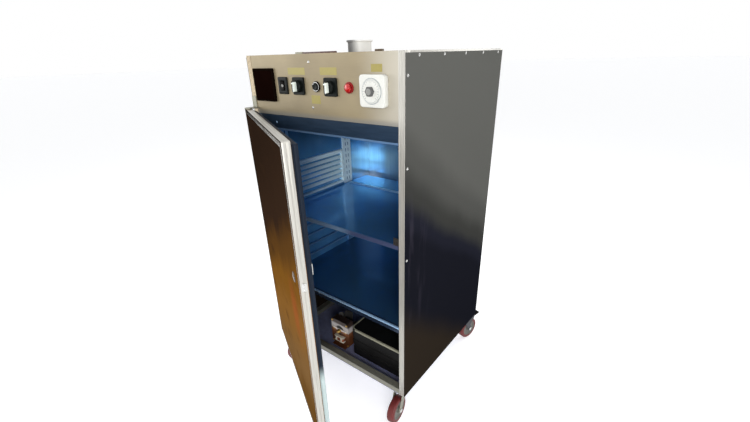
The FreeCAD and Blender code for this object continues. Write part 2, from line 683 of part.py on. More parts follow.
def fan_and_heat():
    z = BASE + FAN_Z
    motor = rod(FAN_X, LINER_BACK - FAN_MOTOR_INSIDE, z, FAN_MOTOR_R,
                FAN_MOTOR_INSIDE + WALL + FAN_MOTOR_OUTSIDE, Y_AXIS)
    shaft = rod(FAN_X, LINER_BACK - FAN_MOTOR_INSIDE - FAN_SHAFT_L, z, FAN_SHAFT_R, FAN_SHAFT_L, Y_AXIS)
    save("fan_motor", motor.fuse(shaft))
    hub_y = LINER_BACK - FAN_MOTOR_INSIDE - FAN_SHAFT_L + FAN_SHAFT_END
    save("fan_blades", fan_wheel(FAN_X, z, hub_y, FAN_HUB_R, FAN_HUB_T, FAN_R, FAN_BLADES, FAN_SHAFT_R + SPINDLE_GAP))
    save("heater", heater())
    save("fan_guard", *fan_guard())
    ceiling = BASE + CEILING_BOTTOM
    y = LINER_BACK - SENSOR_BACK_GAP
    probe = rod(SENSOR_X, y, ceiling - SENSOR_L, SENSOR_R, SENSOR_L)
    collar = rod(SENSOR_X, y, ceiling - SENSOR_COLLAR_H, SENSOR_COLLAR_R, SENSOR_COLLAR_H)
    tip = Part.makeSphere(SENSOR_R, V(SENSOR_X, y, ceiling - SENSOR_L))
    save("sensor_probe", probe.fuse([collar, tip]))


# ================================================================ machine bay
def blower():
    """Shaded-pole motor: laminated stack with the rotor above and the coil below."""
    y0 = FRONT + BLOWER_INSET - STACK_T / 2
    z0 = PAN_TOP + BLOWER_FOOT_T
    rotor_z = z0 + STACK_H - STACK_W / 2
    x0, x1 = BLOWER_X - STACK_W / 2, BLOWER_X + STACK_W / 2
    stack = rounded(block(x0, x1, y0, y0 + STACK_T, z0, z0 + STACK_H), STACK_CORNER, Y_AXIS)
    window_z = z0 + STACK_LEG
    window = block(x0 + STACK_LEG, x1 - STACK_LEG, y0 - 1, y0 + STACK_T + 1, window_z, window_z + COIL_WINDOW_H)
    core_half = STACK_LEG / 2
    stack = stack.cut([window, rod(BLOWER_X, y0 - 1, rotor_z, ROTOR_R, STACK_T + 2, Y_AXIS)])
    core = block(BLOWER_X - core_half, BLOWER_X + core_half, y0, y0 + STACK_T, window_z, window_z + COIL_WINDOW_H)
    stack = stack.fuse(core).removeSplitter()

    bridge_x0, bridge_x1 = x0 + STACK_LEG / 2, x1 - STACK_LEG / 2
    bridge_z0, bridge_z1 = rotor_z - BEARING_R, rotor_z + BEARING_R
    bore_r = BLOWER_SHAFT_R + SPINDLE_GAP
    cup_end = y0 - BEARING_L
    bridge = block(bridge_x0, bridge_x1, y0 - BRIDGE_T, y0, bridge_z0, bridge_z1)
    front_bracket = bridge.fuse(rod(BLOWER_X, cup_end, rotor_z, BEARING_R - CUP_STEP, BEARING_L, Y_AXIS))
    front_bracket = front_bracket.cut(rod(BLOWER_X, cup_end + CUP_FLOOR, rotor_z, bore_r, BEARING_L, Y_AXIS))
    back_y = y0 + STACK_T
    bridge = block(bridge_x0, bridge_x1, back_y, back_y + BRIDGE_T, bridge_z0, bridge_z1)
    rear_bracket = bridge.fuse(rod(BLOWER_X, back_y, rotor_z, BEARING_R - CUP_STEP, BEARING_L, Y_AXIS))
    rear_bracket = rear_bracket.cut(rod(BLOWER_X, back_y, rotor_z, bore_r, BEARING_L, Y_AXIS))
    foot = block(BLOWER_X - BLOWER_FOOT_W / 2, BLOWER_X + BLOWER_FOOT_W / 2, y0 + STACK_T / 2 - BLOWER_FOOT_L / 2,
                 y0 + STACK_T / 2 + BLOWER_FOOT_L / 2, PAN_TOP, z0)
    save("blower_motor", stack, front_bracket, rear_bracket, foot)

    coil_x0, coil_x1 = BLOWER_X - COIL_W / 2, BLOWER_X + COIL_W / 2
    hole = block(BLOWER_X - core_half, BLOWER_X + core_half, y0, y0 + STACK_T, window_z, window_z + COIL_WINDOW_H)
    winding = rounded(block(coil_x0, coil_x1, y0 - COIL_OVERHANG, y0 + STACK_T + COIL_OVERHANG,
                            window_z + BOBBIN_T, window_z + COIL_WINDOW_H - BOBBIN_T), COIL_OVERHANG * 0.8, Z_AXIS)
    save("blower_coil", winding.cut(hole))

    rotor_l = STACK_T - 2 * ROTOR_END_GAP
    rotor = rod(BLOWER_X, y0 + ROTOR_END_GAP, rotor_z, ROTOR_R - ROTOR_GAP, rotor_l, Y_AXIS)
    shaft_y = cup_end + CUP_FLOOR + ROTOR_END_GAP
    shaft = rod(BLOWER_X, shaft_y, rotor_z, BLOWER_SHAFT_R, BEARING_L + STACK_T + BLOWER_SHAFT_L, Y_AXIS)
    fan_y = back_y + BEARING_L + BLOWER_FAN_OFFSET
    wheel = fan_wheel(BLOWER_X, rotor_z, fan_y, BLOWER_HUB_R, BLOWER_HUB_L, BLOWER_FAN_R, BLOWER_FAN_BLADES,
                      BLOWER_SHAFT_R)
    save("blower_fan", rotor.fuse([shaft, wheel]))


def humidifier_tank():
    """Water tank of the humidifier, an open box, with its lid."""
    x0, y0, z0 = TANK_LEFT, FRONT + TANK_INSET, PAN_TOP
    x1, y1, z1 = x0 + TANK_W, y0 + TANK_D, z0 + TANK_H
    m = TANK_METAL
    tank = block(x0, x1, y0, y1, z0, z1).cut(block(x0 + m, x1 - m, y0 + m, y1 - m, z0 + m, z1))
    o = TANK_LID_OVERHANG
    lid = block(x0 - o, x1 + o, y0 - o, y1 + o, z1, z1 + TANK_LID_T)
    spout = rod((x0 + x1) / 2, (y0 + y1) / 2, z1 + TANK_LID_T, SPOUT_R, SPOUT_H)
    return tank, lid.fuse(spout)


def machine_bay():
    blower()
    save("humidifier_tank", *humidifier_tank())
    z = BASE + INLET_Z
    flange = plate_on(INLET_X, z, INLET_W, INLET_H, INNER_BACK, INLET_FLANGE)
    body = plate_on(INLET_X, z, INLET_W - 2 * INLET_FLANGE, INLET_H - INLET_FLANGE, INNER_BACK, INLET_BODY)
    socket = plate_on(INLET_X, z, INLET_W / 2, INLET_H / 2, INNER_BACK + INLET_BODY / 2, INLET_BODY)
    neck = rod(INLET_X, INNER_BACK - INLET_NECK_L, z, INLET_NECK_R, INLET_NECK_L, Y_AXIS)
    save("power_inlet", body.fuse([flange, neck]).cut(socket))


# ================================================================ control panel
def round_cut(x, radius=PANEL_BORE_R):
    return rod(x, FRONT - WALL, BASE + PANEL_CENTRE_Z, radius, 2 * WALL, Y_AXIS)


def fascia():
    """Folded front plate of the control panel, with the cut-outs for its fittings."""
    half = WIDTH / 2 - WALL
    z0, z1 = BASE + FASCIA_BOTTOM, TOP
    y0, m = FASCIA_FRONT, FASCIA_METAL
    outline = [(-half, y0, z0), (-half, y0, z1), (-half, y0 + FASCIA_FLANGE, z1),
               (-half, y0 + FASCIA_FLANGE, TOP - POST_METAL), (-half, y0 + m, TOP - POST_METAL),
               (-half, y0 + m, z0 + m), (-half, y0 + FASCIA_FLANGE, z0 + m), (-half, y0 + FASCIA_FLANGE, z0)]
    plate = flat(outline, 2 * half, X_AXIS)
    hem = block(-half, half, y0 - FASCIA_HEM_T, y0, z0, z0 + FASCIA_HEM_H)
    plate = plate.fuse(hem).removeSplitter()
    row = BASE + PANEL_CENTRE_Z
    hole = CONTROLLER_BODY + 2 * CUTOUT_GAP
    cuts = [plate_on(CONTROLLER_X, row, hole, hole, FRONT - WALL, 2 * WALL),
            plate_on(ROCKER_X, row, ROCKER_W + 2 * ROCKER_CUT_GAP, ROCKER_L + 2 * ROCKER_CUT_GAP, FRONT - WALL, 2 * WALL),
            rod(REGULATOR_X, FRONT - WALL, BASE + REGULATOR_Z, PANEL_BORE_R, 2 * WALL, Y_AXIS)]
    cuts += [round_cut(x) for x in SELECTOR_XS + (BUTTON_X, PILOT_X)]
    return plate.cut(cuts)


def controls():
    row = BASE + PANEL_CENTRE_Z
    face = FASCIA_FRONT
    save("control_fascia", fascia())

    rim = plate_on(CONTROLLER_X, row, CONTROLLER_FACE, CONTROLLER_FACE, face - CONTROLLER_RIM, CONTROLLER_RIM,
                   CONTROLLER_CORNER)
    body = plate_on(CONTROLLER_X, row, CONTROLLER_BODY, CONTROLLER_BODY, face, CONTROLLER_DEPTH)
    recess = plate_on(CONTROLLER_X, row, WINDOW_FACE, WINDOW_FACE, face - CONTROLLER_RIM, WINDOW_T)
    save("controller_case", rim.fuse(body).cut(recess))
    save("controller_window", recess)

    frame_front = face - ROCKER_FRAME_T
    well = plate_on(ROCKER_X, row, ROCKER_W, ROCKER_L, frame_front, ROCKER_FRAME_T)
    frame = plate_on(ROCKER_X, row, ROCKER_FRAME, ROCKER_FRAME, frame_front, ROCKER_FRAME_T, PLATE_CORNER)
    pivot_y = face - ROCKER_FRAME_T / 2
    pin_l = ROCKER_W + 2 * ROCKER_PIN_REACH
    pin = rod(ROCKER_X - pin_l / 2, pivot_y, row, ROCKER_PIN_R, pin_l, X_AXIS)
    pin_bore = rod(ROCKER_X - pin_l / 2 - SPINDLE_GAP, pivot_y, row, ROCKER_PIN_R + SPINDLE_GAP,
                   pin_l + 2 * SPINDLE_GAP, X_AXIS)
    frames = [frame.cut([well, pin_bore])]
    for x in SELECTOR_XS:
        plate = plate_on(x, row, SELECTOR_PLATE, SELECTOR_PLATE, face - SELECTOR_PLATE_T, SELECTOR_PLATE_T,
                         PLATE_CORNER)
        barrel = rod(x, face, row, BEZEL_BARREL_R, BEZEL_BARREL_L, Y_AXIS)
        bore = rod(x, face - SELECTOR_PLATE_T, row, SPINDLE_R + SPINDLE_GAP, SELECTOR_PLATE_T + SPINDLE_L, Y_AXIS)
        frames.append(plate.fuse(barrel).cut(bore))
    save("switch_frames", *frames)

    half_l = ROCKER_L / 2 - ROCKER_GAP
    half_w = ROCKER_W / 2 - ROCKER_GAP
    crown, foot = frame_front - ROCKER_PROUD, face - ROCKER_SINK
    foot_l = half_l * ROCKER_TAPER
    x = ROCKER_X - half_w
    outline = [(x, foot, row - foot_l), (x, crown, row - half_l), (x, crown + ROCKER_DISH, row),
               (x, crown, row + half_l), (x, foot, row + foot_l)]
    save("rocker", flat(outline, 2 * half_w, X_AXIS).fuse(pin))

    for node, x in (("selector_knob_left", SELECTOR_XS[0]), ("selector_knob_right", SELECTOR_XS[1])):
        seat = face - SELECTOR_PLATE_T - KNOB_LIFT
        disc = rod(x, seat - SELECTOR_H, row, SELECTOR_R, SELECTOR_H, Y_AXIS)
        grip = plate_on(x, row, SELECTOR_GRIP_W, 2 * (SELECTOR_R - GRIP_INSET), seat - SELECTOR_H - SELECTOR_GRIP_H,
                        SELECTOR_GRIP_H, GRIP_CORNER)
        spindle = rod(x, seat, row, SPINDLE_R, SPINDLE_L, Y_AXIS)
        save(node, disc.fuse([grip, spindle]))

    bezels = []
    for x, bore_r in ((BUTTON_X, BUTTON_R + SPINDLE_GAP), (PILOT_X, PILOT_R - LENS_SEAT)):
        bezel = rod(x, face - BEZEL_T, row, BEZEL_R, BEZEL_T, Y_AXIS)
        bezel = bezel.fuse(rod(x, face, row, BEZEL_BARREL_R, BEZEL_BARREL_L, Y_AXIS))
        bezels.append(bezel.cut(rod(x, face - BEZEL_T, row, bore_r, BEZEL_T + BEZEL_BARREL_L / 2, Y_AXIS)))
    save("round_bezels", *bezels)
    button_l = BUTTON_PROUD + BEZEL_T + BUTTON_STEM
    save("push_button", rod(BUTTON_X, face - BEZEL_T - BUTTON_PROUD, row, BUTTON_R, button_l, Y_AXIS))
    lens = rod(PILOT_X, face - BEZEL_T - PILOT_H, row, PILOT_R, PILOT_H, Y_AXIS)
    front_y = face - BEZEL_T - PILOT_H
    dome_edge = [e for e in lens.Edges
                 if abs(e.BoundBox.YMax - front_y) < SPINDLE_GAP and e.BoundBox.ZLength > PILOT_R]
    save("pilot_lens", lens.makeFillet(LENS_DOME, dome_edge))

    z = BASE + REGULATOR_Z
    box = plate_on(REGULATOR_X, z, REGULATOR_W, REGULATOR_H, face - REGULATOR_T, REGULATOR_T, REGULATOR_CORNER)
    neck = rod(REGULATOR_X, face, z, BEZEL_BARREL_R, BEZEL_BARREL_L, Y_AXIS)
    bore = rod(REGULATOR_X, face - REGULATOR_T, z, SPINDLE_R + SPINDLE_GAP, REGULATOR_T, Y_AXIS)
    save("regulator_box", box.fuse(neck).cut(bore))
    seat = face - REGULATOR_T - KNOB_LIFT
    dial = rod(REGULATOR_X, seat - DIAL_T, z, DIAL_R, DIAL_T, Y_AXIS)
    hub_points = [(REGULATOR_X + DIAL_HUB_R * math.cos(a), seat - DIAL_T - DIAL_HUB_T, z + DIAL_HUB_R * math.sin(a))
                  for a in [2 * math.pi * n / 6 for n in range(6)]]
    hub = flat(hub_points, DIAL_HUB_T, Y_AXIS)
    save("regulator_knob", dial.fuse([hub, rod(REGULATOR_X, seat, z, SPINDLE_R, SPINDLE_L, Y_AXIS)]))


# ================================================================ top, inlet, fasteners
def vent_stack():
    """Round pipe from the chamber's ceiling through the top, with a rim."""
    y = FRONT + STACK_PIPE_INSET
    z0, z1 = BASE + CEILING_BOTTOM, TOP + STACK_PIPE_PROUD
    pipe = rod(STACK_PIPE_X, y, z0, STACK_PIPE_R, z1 - z0)
    rim = rod(STACK_PIPE_X, y, z1 - STACK_RIM_H, STACK_RIM_R, STACK_RIM_H)
    bore = rod(STACK_PIPE_X, y, z0 - 1, STACK_PIPE_R - STACK_PIPE_WALL, z1 - z0 + 2)
    return pipe.fuse(rim).cut(bore)


def screws():
    """Dome heads along the top trims, down the front of each side and on the control panel."""
    heads = []
    z = TOP - WALL / 2
    for inset in SIDE_SCREW_INSETS:
        head = rod(RIGHT, FRONT + inset, z, SCREW_R, SCREW_H, X_AXIS)
        heads += [head, mirrored(head)]
    for drop in SIDE_SCREW_DROPS:
        head = rod(RIGHT, FRONT + WALL / 2, TOP - drop, SCREW_R, SCREW_H, X_AXIS)
        heads += [head, mirrored(head)]
    for x, level in FASCIA_SCREWS:
        heads.append(rod(x, FASCIA_FRONT - SCREW_H, BASE + FASCIA_BOTTOM + level, SCREW_R, SCREW_H, Y_AXIS))
    return heads


# ================================================================ door, modelled shut and then swung open
def swung(shape):
    """Turn a door piece from shut to the angle at which the door stands."""
    turned = shape.copy()
    turned.rotate(V(HINGE_X, HINGE_Y, 0), Z_AXIS, -DOOR_OPEN)
    return turned


def door_ring(y0, y1, width, side_inset, end_inset):
    """Four strips that make a rectangular frame."""
    x0, x1 = LEFT + side_inset, RIGHT - side_inset
    z0, z1 = BASE + DOOR_BOTTOM + end_inset, BASE + DOOR_TOP - end_inset
    return [block(x0, x0 + width, y0, y1, z0 + width, z1 - width),
            block(x1 - width, x1, y0, y1, z0 + width, z1 - width),
            block(x0, x1, y0, y1, z0, z0 + width),
            block(x0, x1, y0, y1, z1 - width, z1)]


def door():
    z0, z1 = BASE + DOOR_BOTTOM, BASE + DOOR_TOP
    lock_x, lock_z = RIGHT - LOCK_INSET, BASE + LOCK_Z
    core_y0, core_y1 = DOOR_OUTER + DOOR_SKIN, DOOR_INNER - DOOR_SKIN
    lock_bore = rod(lock_x, DOOR_OUTER - 1, lock_z, LOCK_R, DOOR_T + 2, Y_AXIS)

    outer = block(LEFT, RIGHT, DOOR_OUTER, core_y0, z0, z1).cut(lock_bore)
    inner = block(LEFT, RIGHT, core_y1, DOOR_INNER, z0, z1).cut(lock_bore)
    save("door_skins", swung(outer), swung(inner))
    w = DOOR_EDGE_W
    core = block(LEFT + w, RIGHT - w, core_y0, core_y1, z0 + w, z1 - w).cut(lock_bore)
    save("door_core", swung(core))

    strips = door_ring(core_y0, core_y1, w, 0.0, 0.0)
    bush = PIN_R + PIN_CLEARANCE
    strips[2] = strips[2].cut(rod(HINGE_X, HINGE_Y, z0 - 1, bush, w + 1))
    strips[3] = strips[3].cut(rod(HINGE_X, HINGE_Y, z1 - w, bush, w + 1))
    save("door_edge_frame", *[swung(s) for s in strips])

    gasket = door_ring(DOOR_INNER, DOOR_INNER + GASKET_T, GASKET_W, GASKET_INSET, DOOR_EDGE_W)
    save("door_gasket", *[swung(g) for g in gasket])

    barrel = rod(lock_x, DOOR_OUTER, lock_z, LOCK_R, DOOR_T, Y_AXIS)
    barrel = barrel.fuse(rod(lock_x, DOOR_OUTER - LOCK_FLANGE_T, lock_z, LOCK_FLANGE_R, LOCK_FLANGE_T, Y_AXIS))
    barrel = barrel.cut(rod(lock_x, DOOR_OUTER - 2 * LOCK_FLANGE_T, lock_z, PLUG_R + SPINDLE_GAP,
                            DOOR_T + 3 * LOCK_FLANGE_T, Y_AXIS))
    face_y = (DOOR_OUTER + DOOR_INNER) / 2
    face = block(RIGHT, RIGHT + LOCK_FACE_T, face_y - LOCK_FACE_W / 2, face_y + LOCK_FACE_W / 2,
                 lock_z - LOCK_FACE_H / 2, lock_z + LOCK_FACE_H / 2)
    save("lock_barrel", swung(barrel), swung(face))

    plug_front = DOOR_OUTER - LOCK_FLANGE_T - PLUG_PROUD
    cam_y = FRONT + CAM_DEPTH
    plug = rod(lock_x, plug_front, lock_z, PLUG_R, cam_y + CAM_T - plug_front, Y_AXIS)
    slot_half = KEY_SLOT_W / 2
    key_slot = block(lock_x - slot_half, lock_x + slot_half, plug_front, plug_front + KEY_SLOT_DEPTH,
                     lock_z - PLUG_R / 2, lock_z + PLUG_R / 2)
    arm = block(lock_x - CAM_W / 2, lock_x + CAM_W / 2, cam_y, cam_y + CAM_T, lock_z, lock_z + CAM_L)
    save("lock_cam", swung(plug.cut(key_slot).fuse(arm)))


def hinge_bracket(door_end, outward):
    """Plate beyond one end of the door, its flange on the post and its pin in the door."""
    x0, x1 = LEFT, LEFT + HINGE_PLATE_W
    y0, y1 = DOOR_OUTER, FRONT
    near = door_end + outward * HINGE_GAP
    far = near + outward * HINGE_PLATE_T
    plate = block(x0, x1, y0, y1, min(near, far), max(near, far))
    flange_end = far + outward * HINGE_FLANGE_H
    flange = block(x0, LEFT + WALL, FRONT - HINGE_FLANGE_T, FRONT, min(near, flange_end), max(near, flange_end))
    tip = door_end - outward * PIN_L
    pin = rod(HINGE_X, HINGE_Y, min(tip, near), PIN_R, abs(near - tip))
    return plate.fuse([flange, pin])


def door_hardware():
    save("hinge_brackets", hinge_bracket(BASE + DOOR_TOP, 1), hinge_bracket(BASE + DOOR_BOTTOM, -1))
    z0, z1 = BASE + LOCK_Z - KEEPER_H / 2, BASE + LOCK_Z + KEEPER_H / 2
    y0 = FRONT + KEEPER_INSET
    catch = block(LINER_X - KEEPER_W, LINER_X, y0, y0 + KEEPER_T, z0, z1)
    leg = block(LINER_X - KEEPER_T, LINER_X, y0, y0 + KEEPER_L, z0, z1)
    save("lock_keeper", catch.fuse(leg).removeSplitter())


# ================================================================ casters, modelled trailing along +Y
def placed(shape, caster):
    """Turn a caster piece to its heading and move it under its corner."""
    _, side, end, heading = caster
    turned = shape.copy()
    turned.rotate(V(0, 0, 0), Z_AXIS, heading - 90.0)
    turned.translate(V(side * (WIDTH / 2 - CASTER_INSET_X), end * (DEPTH / 2 - CASTER_INSET_Y), 0))
    return turned


def caster_plate():
    """Top plate with its kingpin; it doesn't turn, so it stays square to the cabinet."""
    length, width, thickness = CASTER_PLATE
    plate = block(-length / 2, length / 2, -width / 2, width / 2, BASE - thickness, BASE)
    pin_end = CROWN_Z - KINGPIN_NUT_H
    pin = rod(0, 0, pin_end, KINGPIN_R, BASE - thickness - pin_end)
    nut = rod(0, 0, pin_end, KINGPIN_NUT_R, CROWN_Z - RACE_GAP - pin_end)
    return plate.fuse([pin, nut])


def caster_fork(braked):
    """Crown, ball race and two legs."""
    inner = WHEEL_W / 2 + FORK_LEG_GAP
    outer = inner + FORK_LEG_T
    race_top = BASE - CASTER_PLATE[2] - RACE_GAP
    crown = block(-outer, outer, -FORK_CROWN_W / 2, FORK_CROWN_W / 2, CROWN_Z, CROWN_Z + CROWN_T)
    race = rod(0, 0, CROWN_Z, RACE_R, race_top - CROWN_Z)
    body = crown.fuse(race)
    top = CROWN_Z + CROWN_T
    pivot_y, pivot_z = PEDAL_PIVOT
    for side in (-1, 1):
        x = side * inner if side > 0 else -outer
        profile = [(x, -FORK_CROWN_W / 2, top), (x, FORK_CROWN_W / 2, top),
                   (x, TRAIL + FORK_EYE_R, WHEEL_R + 2), (x, TRAIL + FORK_EYE_R * 0.5, WHEEL_R - FORK_EYE_R * 0.8),
                   (x, TRAIL - FORK_EYE_R * 0.5, WHEEL_R - FORK_EYE_R * 0.8), (x, TRAIL - FORK_EYE_R, WHEEL_R + 2)]
        leg = flat(profile, FORK_LEG_T, X_AXIS)
        leg = leg.fuse(rod(x, TRAIL, WHEEL_R, FORK_EYE_R, FORK_LEG_T, X_AXIS))
        if braked:
            ear_end = pivot_y + PEDAL_EAR
            ear = [(x, 0, top), (x, ear_end, top), (x, ear_end, pivot_z - PEDAL_T),
                   (x, TRAIL, WHEEL_R + 2 * FORK_EYE_R)]
            leg = leg.fuse(flat(ear, FORK_LEG_T, X_AXIS))
        body = body.fuse(leg)
    body = body.removeSplitter()
    cuts = [rod(0, 0, CROWN_Z - 1, KINGPIN_R + KINGPIN_GAP, BASE)]
    if braked:
        cuts.append(rod(-2 * outer, pivot_y, pivot_z, PEDAL_PIN_R + SPINDLE_GAP, 4 * outer, X_AXIS))
    cuts.append(rod(-2 * outer, TRAIL, WHEEL_R, AXLE_R, 4 * outer, X_AXIS))
    body = body.cut(cuts)
    axle = rod(-outer - AXLE_HEAD_T, TRAIL, WHEEL_R, AXLE_R, 2 * (outer + AXLE_HEAD_T), X_AXIS)
    for x in (-outer - AXLE_HEAD_T, outer):
        axle = axle.fuse(rod(x, TRAIL, WHEEL_R, AXLE_HEAD_R, AXLE_HEAD_T, X_AXIS))
    return Part.makeCompound([body, axle])


def caster_wheel():
    """Tyred wheel with a dished hub and a bore for the axle."""
    half = WHEEL_W / 2
    tyre = rod(-half, TRAIL, WHEEL_R, WHEEL_R, WHEEL_W, X_AXIS)
    tyre = tyre.makeFillet(TYRE_ROUND, [e for e in tyre.Edges if e.Curve.TypeId == "Part::GeomCircle"])
    dishes = []
    for x in (-half, half - DISH_DEPTH):
        dish = rod(x, TRAIL, WHEEL_R, DISH_R, DISH_DEPTH, X_AXIS)
        dishes.append(dish.cut(rod(x, TRAIL, WHEEL_R, WHEEL_BOSS_R, DISH_DEPTH, X_AXIS)))
    bore = rod(-half, TRAIL, WHEEL_R, AXLE_R + WHEEL_BORE_GAP, WHEEL_W, X_AXIS)
    return tyre.cut(dishes + [bore])


def brake_pedal():
    """Foot lever between the fork's ears, on its own cross pin."""
    pivot_y, pivot_z = PEDAL_PIVOT
    inner = WHEEL_W / 2 + FORK_LEG_GAP
    half = inner - PEDAL_SIDE_GAP
    x, heel, root, toe = -half, pivot_y - PEDAL_T, pivot_y + PEDAL_EAR + PEDAL_DROP, pivot_y + PEDAL_REACH
    points = [(x, heel, pivot_z + PEDAL_T), (x, root, pivot_z + PEDAL_T), (x, toe, pivot_z - PEDAL_DROP),
              (x, toe, pivot_z - PEDAL_DROP - PEDAL_T), (x, root, pivot_z - PEDAL_T), (x, heel, pivot_z - PEDAL_T)]
    lever = flat(points, 2 * half, X_AXIS)
    reach = inner + FORK_LEG_T
    return lever.fuse(rod(-reach, pivot_y, pivot_z, PEDAL_PIN_R, 2 * reach, X_AXIS))


def casters():
    plates = []
    for caster in CASTERS:
        name, side, end, _ = caster
        upright_caster = (name, side, end, 90.0)
        plates.append(placed(caster_plate(), upright_caster))
        save("caster_fork_" + name, placed(caster_fork(name in BRAKED), caster))
        save("caster_wheel_" + name, placed(caster_wheel(), caster))
        if name in BRAKED:
            save("brake_pedal_" + name, placed(brake_pedal(), caster))
    save("caster_plates", *plates)


def main():
    os.makedirs("parts", exist_ok=True)
    cabinet()
    chamber()
    chamber_fittings()
    fan_and_heat()
    machine_bay()
    controls()
    save("vent_stack", vent_stack())
    save("panel_screws", *screws())
    door()
    door_hardware()
    casters()


main()
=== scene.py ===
"""Egg incubator: finished parts and materials for the cabinet, door, controls, chamber, machine bay and casters.

Everything is in metres in the frame of the solids: +Z up, the front looks along -Y, the floor is z = 0.
"""
import json
import math

import bpy
import numpy as np
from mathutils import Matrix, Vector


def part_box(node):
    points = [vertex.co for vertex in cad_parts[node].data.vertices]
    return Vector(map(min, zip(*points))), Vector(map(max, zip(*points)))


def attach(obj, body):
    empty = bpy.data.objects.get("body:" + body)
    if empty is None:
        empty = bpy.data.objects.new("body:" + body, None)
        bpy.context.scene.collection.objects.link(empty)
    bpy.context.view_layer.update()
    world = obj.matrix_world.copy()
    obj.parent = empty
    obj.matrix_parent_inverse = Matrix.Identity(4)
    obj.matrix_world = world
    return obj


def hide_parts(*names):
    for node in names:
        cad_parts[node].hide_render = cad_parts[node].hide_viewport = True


bl_info = {
    "name": "Egg incubator",
    "version": (1, 0, 0),
    "blender": (4, 5, 0),
    "location": "3D View > Sidebar > Incubator",
    "description": "Dresses the solids of an egg incubator with finished parts and materials",
    "category": "Object",
}

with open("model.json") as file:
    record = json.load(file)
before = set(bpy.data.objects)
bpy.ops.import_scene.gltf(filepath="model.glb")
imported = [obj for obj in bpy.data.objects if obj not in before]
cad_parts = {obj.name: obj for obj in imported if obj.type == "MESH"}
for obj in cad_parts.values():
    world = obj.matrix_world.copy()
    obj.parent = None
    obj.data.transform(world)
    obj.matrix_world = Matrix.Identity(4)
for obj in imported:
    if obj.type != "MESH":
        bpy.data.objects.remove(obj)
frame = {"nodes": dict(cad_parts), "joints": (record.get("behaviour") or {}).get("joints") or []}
NODES = frame["nodes"]
JOINTS = {joint["name"]: joint for joint in frame["joints"]}
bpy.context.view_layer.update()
TURN = 2 * math.pi

# the door: how far it stands open, its hinge, half its width, its ends, and its outer and inner face when shut
DOOR_OPEN = math.radians(28.5)
HINGE = np.array(JOINTS["door_hinge"]["pos_m"])
DOOR_SIDE, DOOR_LOW, DOOR_HIGH = 0.305, 0.176, 1.080
DOOR_OUT, DOOR_IN = -0.332, -0.311
LOCK_X, LOCK_Z = 0.246, 0.738
# the control panel: its outer face, how far parts reach behind it, and the height of the row of switches
PANEL_FACE, PANEL_BACK, ROW = -0.294, -0.264, 1.153
SWITCH_X, BUTTON_X, PILOT_X = -0.138, 0.004, 0.127
SELECTORS = (("left", -0.068), ("right", 0.061))
CONTROLLER_X = -0.225
REGULATOR_X, REGULATOR_Z = 0.215, 1.148
# screws on each side: how far behind the front along the top, and how high along the front post
SCREWS_ALONG, SCREWS_UP, TRIM_SCREW_Z = (0.060, 0.185, 0.311, 0.431, 0.550), (0.683, 0.958, 1.184), 1.2275
# corner angles and top trims: width, depth and wall
ANGLE_WIDE, ANGLE_DEEP, ANGLE_WALL = 0.020, 0.021, 0.002
# half length of the folded lips between the posts
LIP_END = 0.2835
# the fan's line in x and z, and the height of the blower's shaft
FAN_X, FAN_Z, BLOWER_Z = 0.060, 0.883, 0.215
# swivel lines of the casters from the middle; each one's side, end and heading of its trail about +Z from +X
CASTER_X, CASTER_Y = 0.262, 0.250
CASTERS = {"front_left": (-1, -1, 262.0), "front_right": (1, -1, 276.0),
           "rear_left": (-1, 1, 97.0), "rear_right": (1, 1, 76.0)}


# ---------------------------------------------------------------- settings a user would change
def colour(name, description, default):
    """A display colour property."""
    return bpy.props.FloatVectorProperty(name=name, description=description, default=default, size=3,
                                         min=0.0, max=1.0, subtype="COLOR_GAMMA")


def length(name, description, default):
    """A length property in metres."""
    return bpy.props.FloatProperty(name=name, description=description, default=default, min=0.0001,
                                   max=0.05, precision=4, unit="LENGTH")


class IncubatorColours(bpy.types.PropertyGroup):
    """Colours of the incubator's main finishes."""
    # side_top and side_low are stops of the painted reflection laid on the side enamel
    side_top: colour("Side, upper part", "Enamel of the side panels near the top", (0.36, 0.36, 0.345))
    side_low: colour("Side, lower part", "Enamel of the side panels in the lower half", (0.095, 0.098, 0.125))
    side_foot: colour("Side, foot", "Enamel of the side panels near the floor", (0.165, 0.14, 0.115))
    # door_top and door_low are stops of the painted reflection laid on the door enamel
    door_top: colour("Door, upper part", "Enamel of the door near its top", (0.15, 0.105, 0.075))
    door_low: colour("Door, lower part", "Enamel of the door in its lower half", (0.49, 0.34, 0.16))
    panel: colour("Control panel", "Sheet of the control panel", (0.565, 0.515, 0.41))
    liner: colour("Chamber lining", "Polished sheet that lines the chamber", (0.38, 0.65, 0.88))
    aluminium: colour("Posts", "Anodised aluminium of the posts and trims", (0.74, 0.73, 0.70))
    tyre: colour("Tyres", "Polyurethane tyres of the casters", (0.42, 0.09, 0.08))
    copper: colour("Winding", "Copper winding of the blower's motor", (0.62, 0.33, 0.20))
    label: colour("Labels", "Blank labels on the control panel", (0.62, 0.57, 0.29))


class IncubatorSizes(bpy.types.PropertyGroup):
    """Small sizes of the finished parts."""
    post_edge: length("Post edge", "Radius on the corners of the posts and trims", 0.0010)
    sheet_edge: length("Sheet edge", "Radius on the edges of folded sheet", 0.0006)
    moulded_edge: length("Moulded edge", "Radius on the edges of moulded plastic", 0.0012)
    wire: length("Guard wire", "Radius of the fan guard's wire", 0.0018)
    tyre_round: length("Tyre shoulder", "Radius of a tyre's shoulder", 0.0060)
    winding_pitch: length("Winding pitch", "Height of one layer of the coil's wire", 0.0017)


# ---------------------------------------------------------------- surfaces
def unit(vectors):
    """Vectors divided by their lengths."""
    return vectors / np.linalg.norm(vectors, axis=-1, keepdims=True)


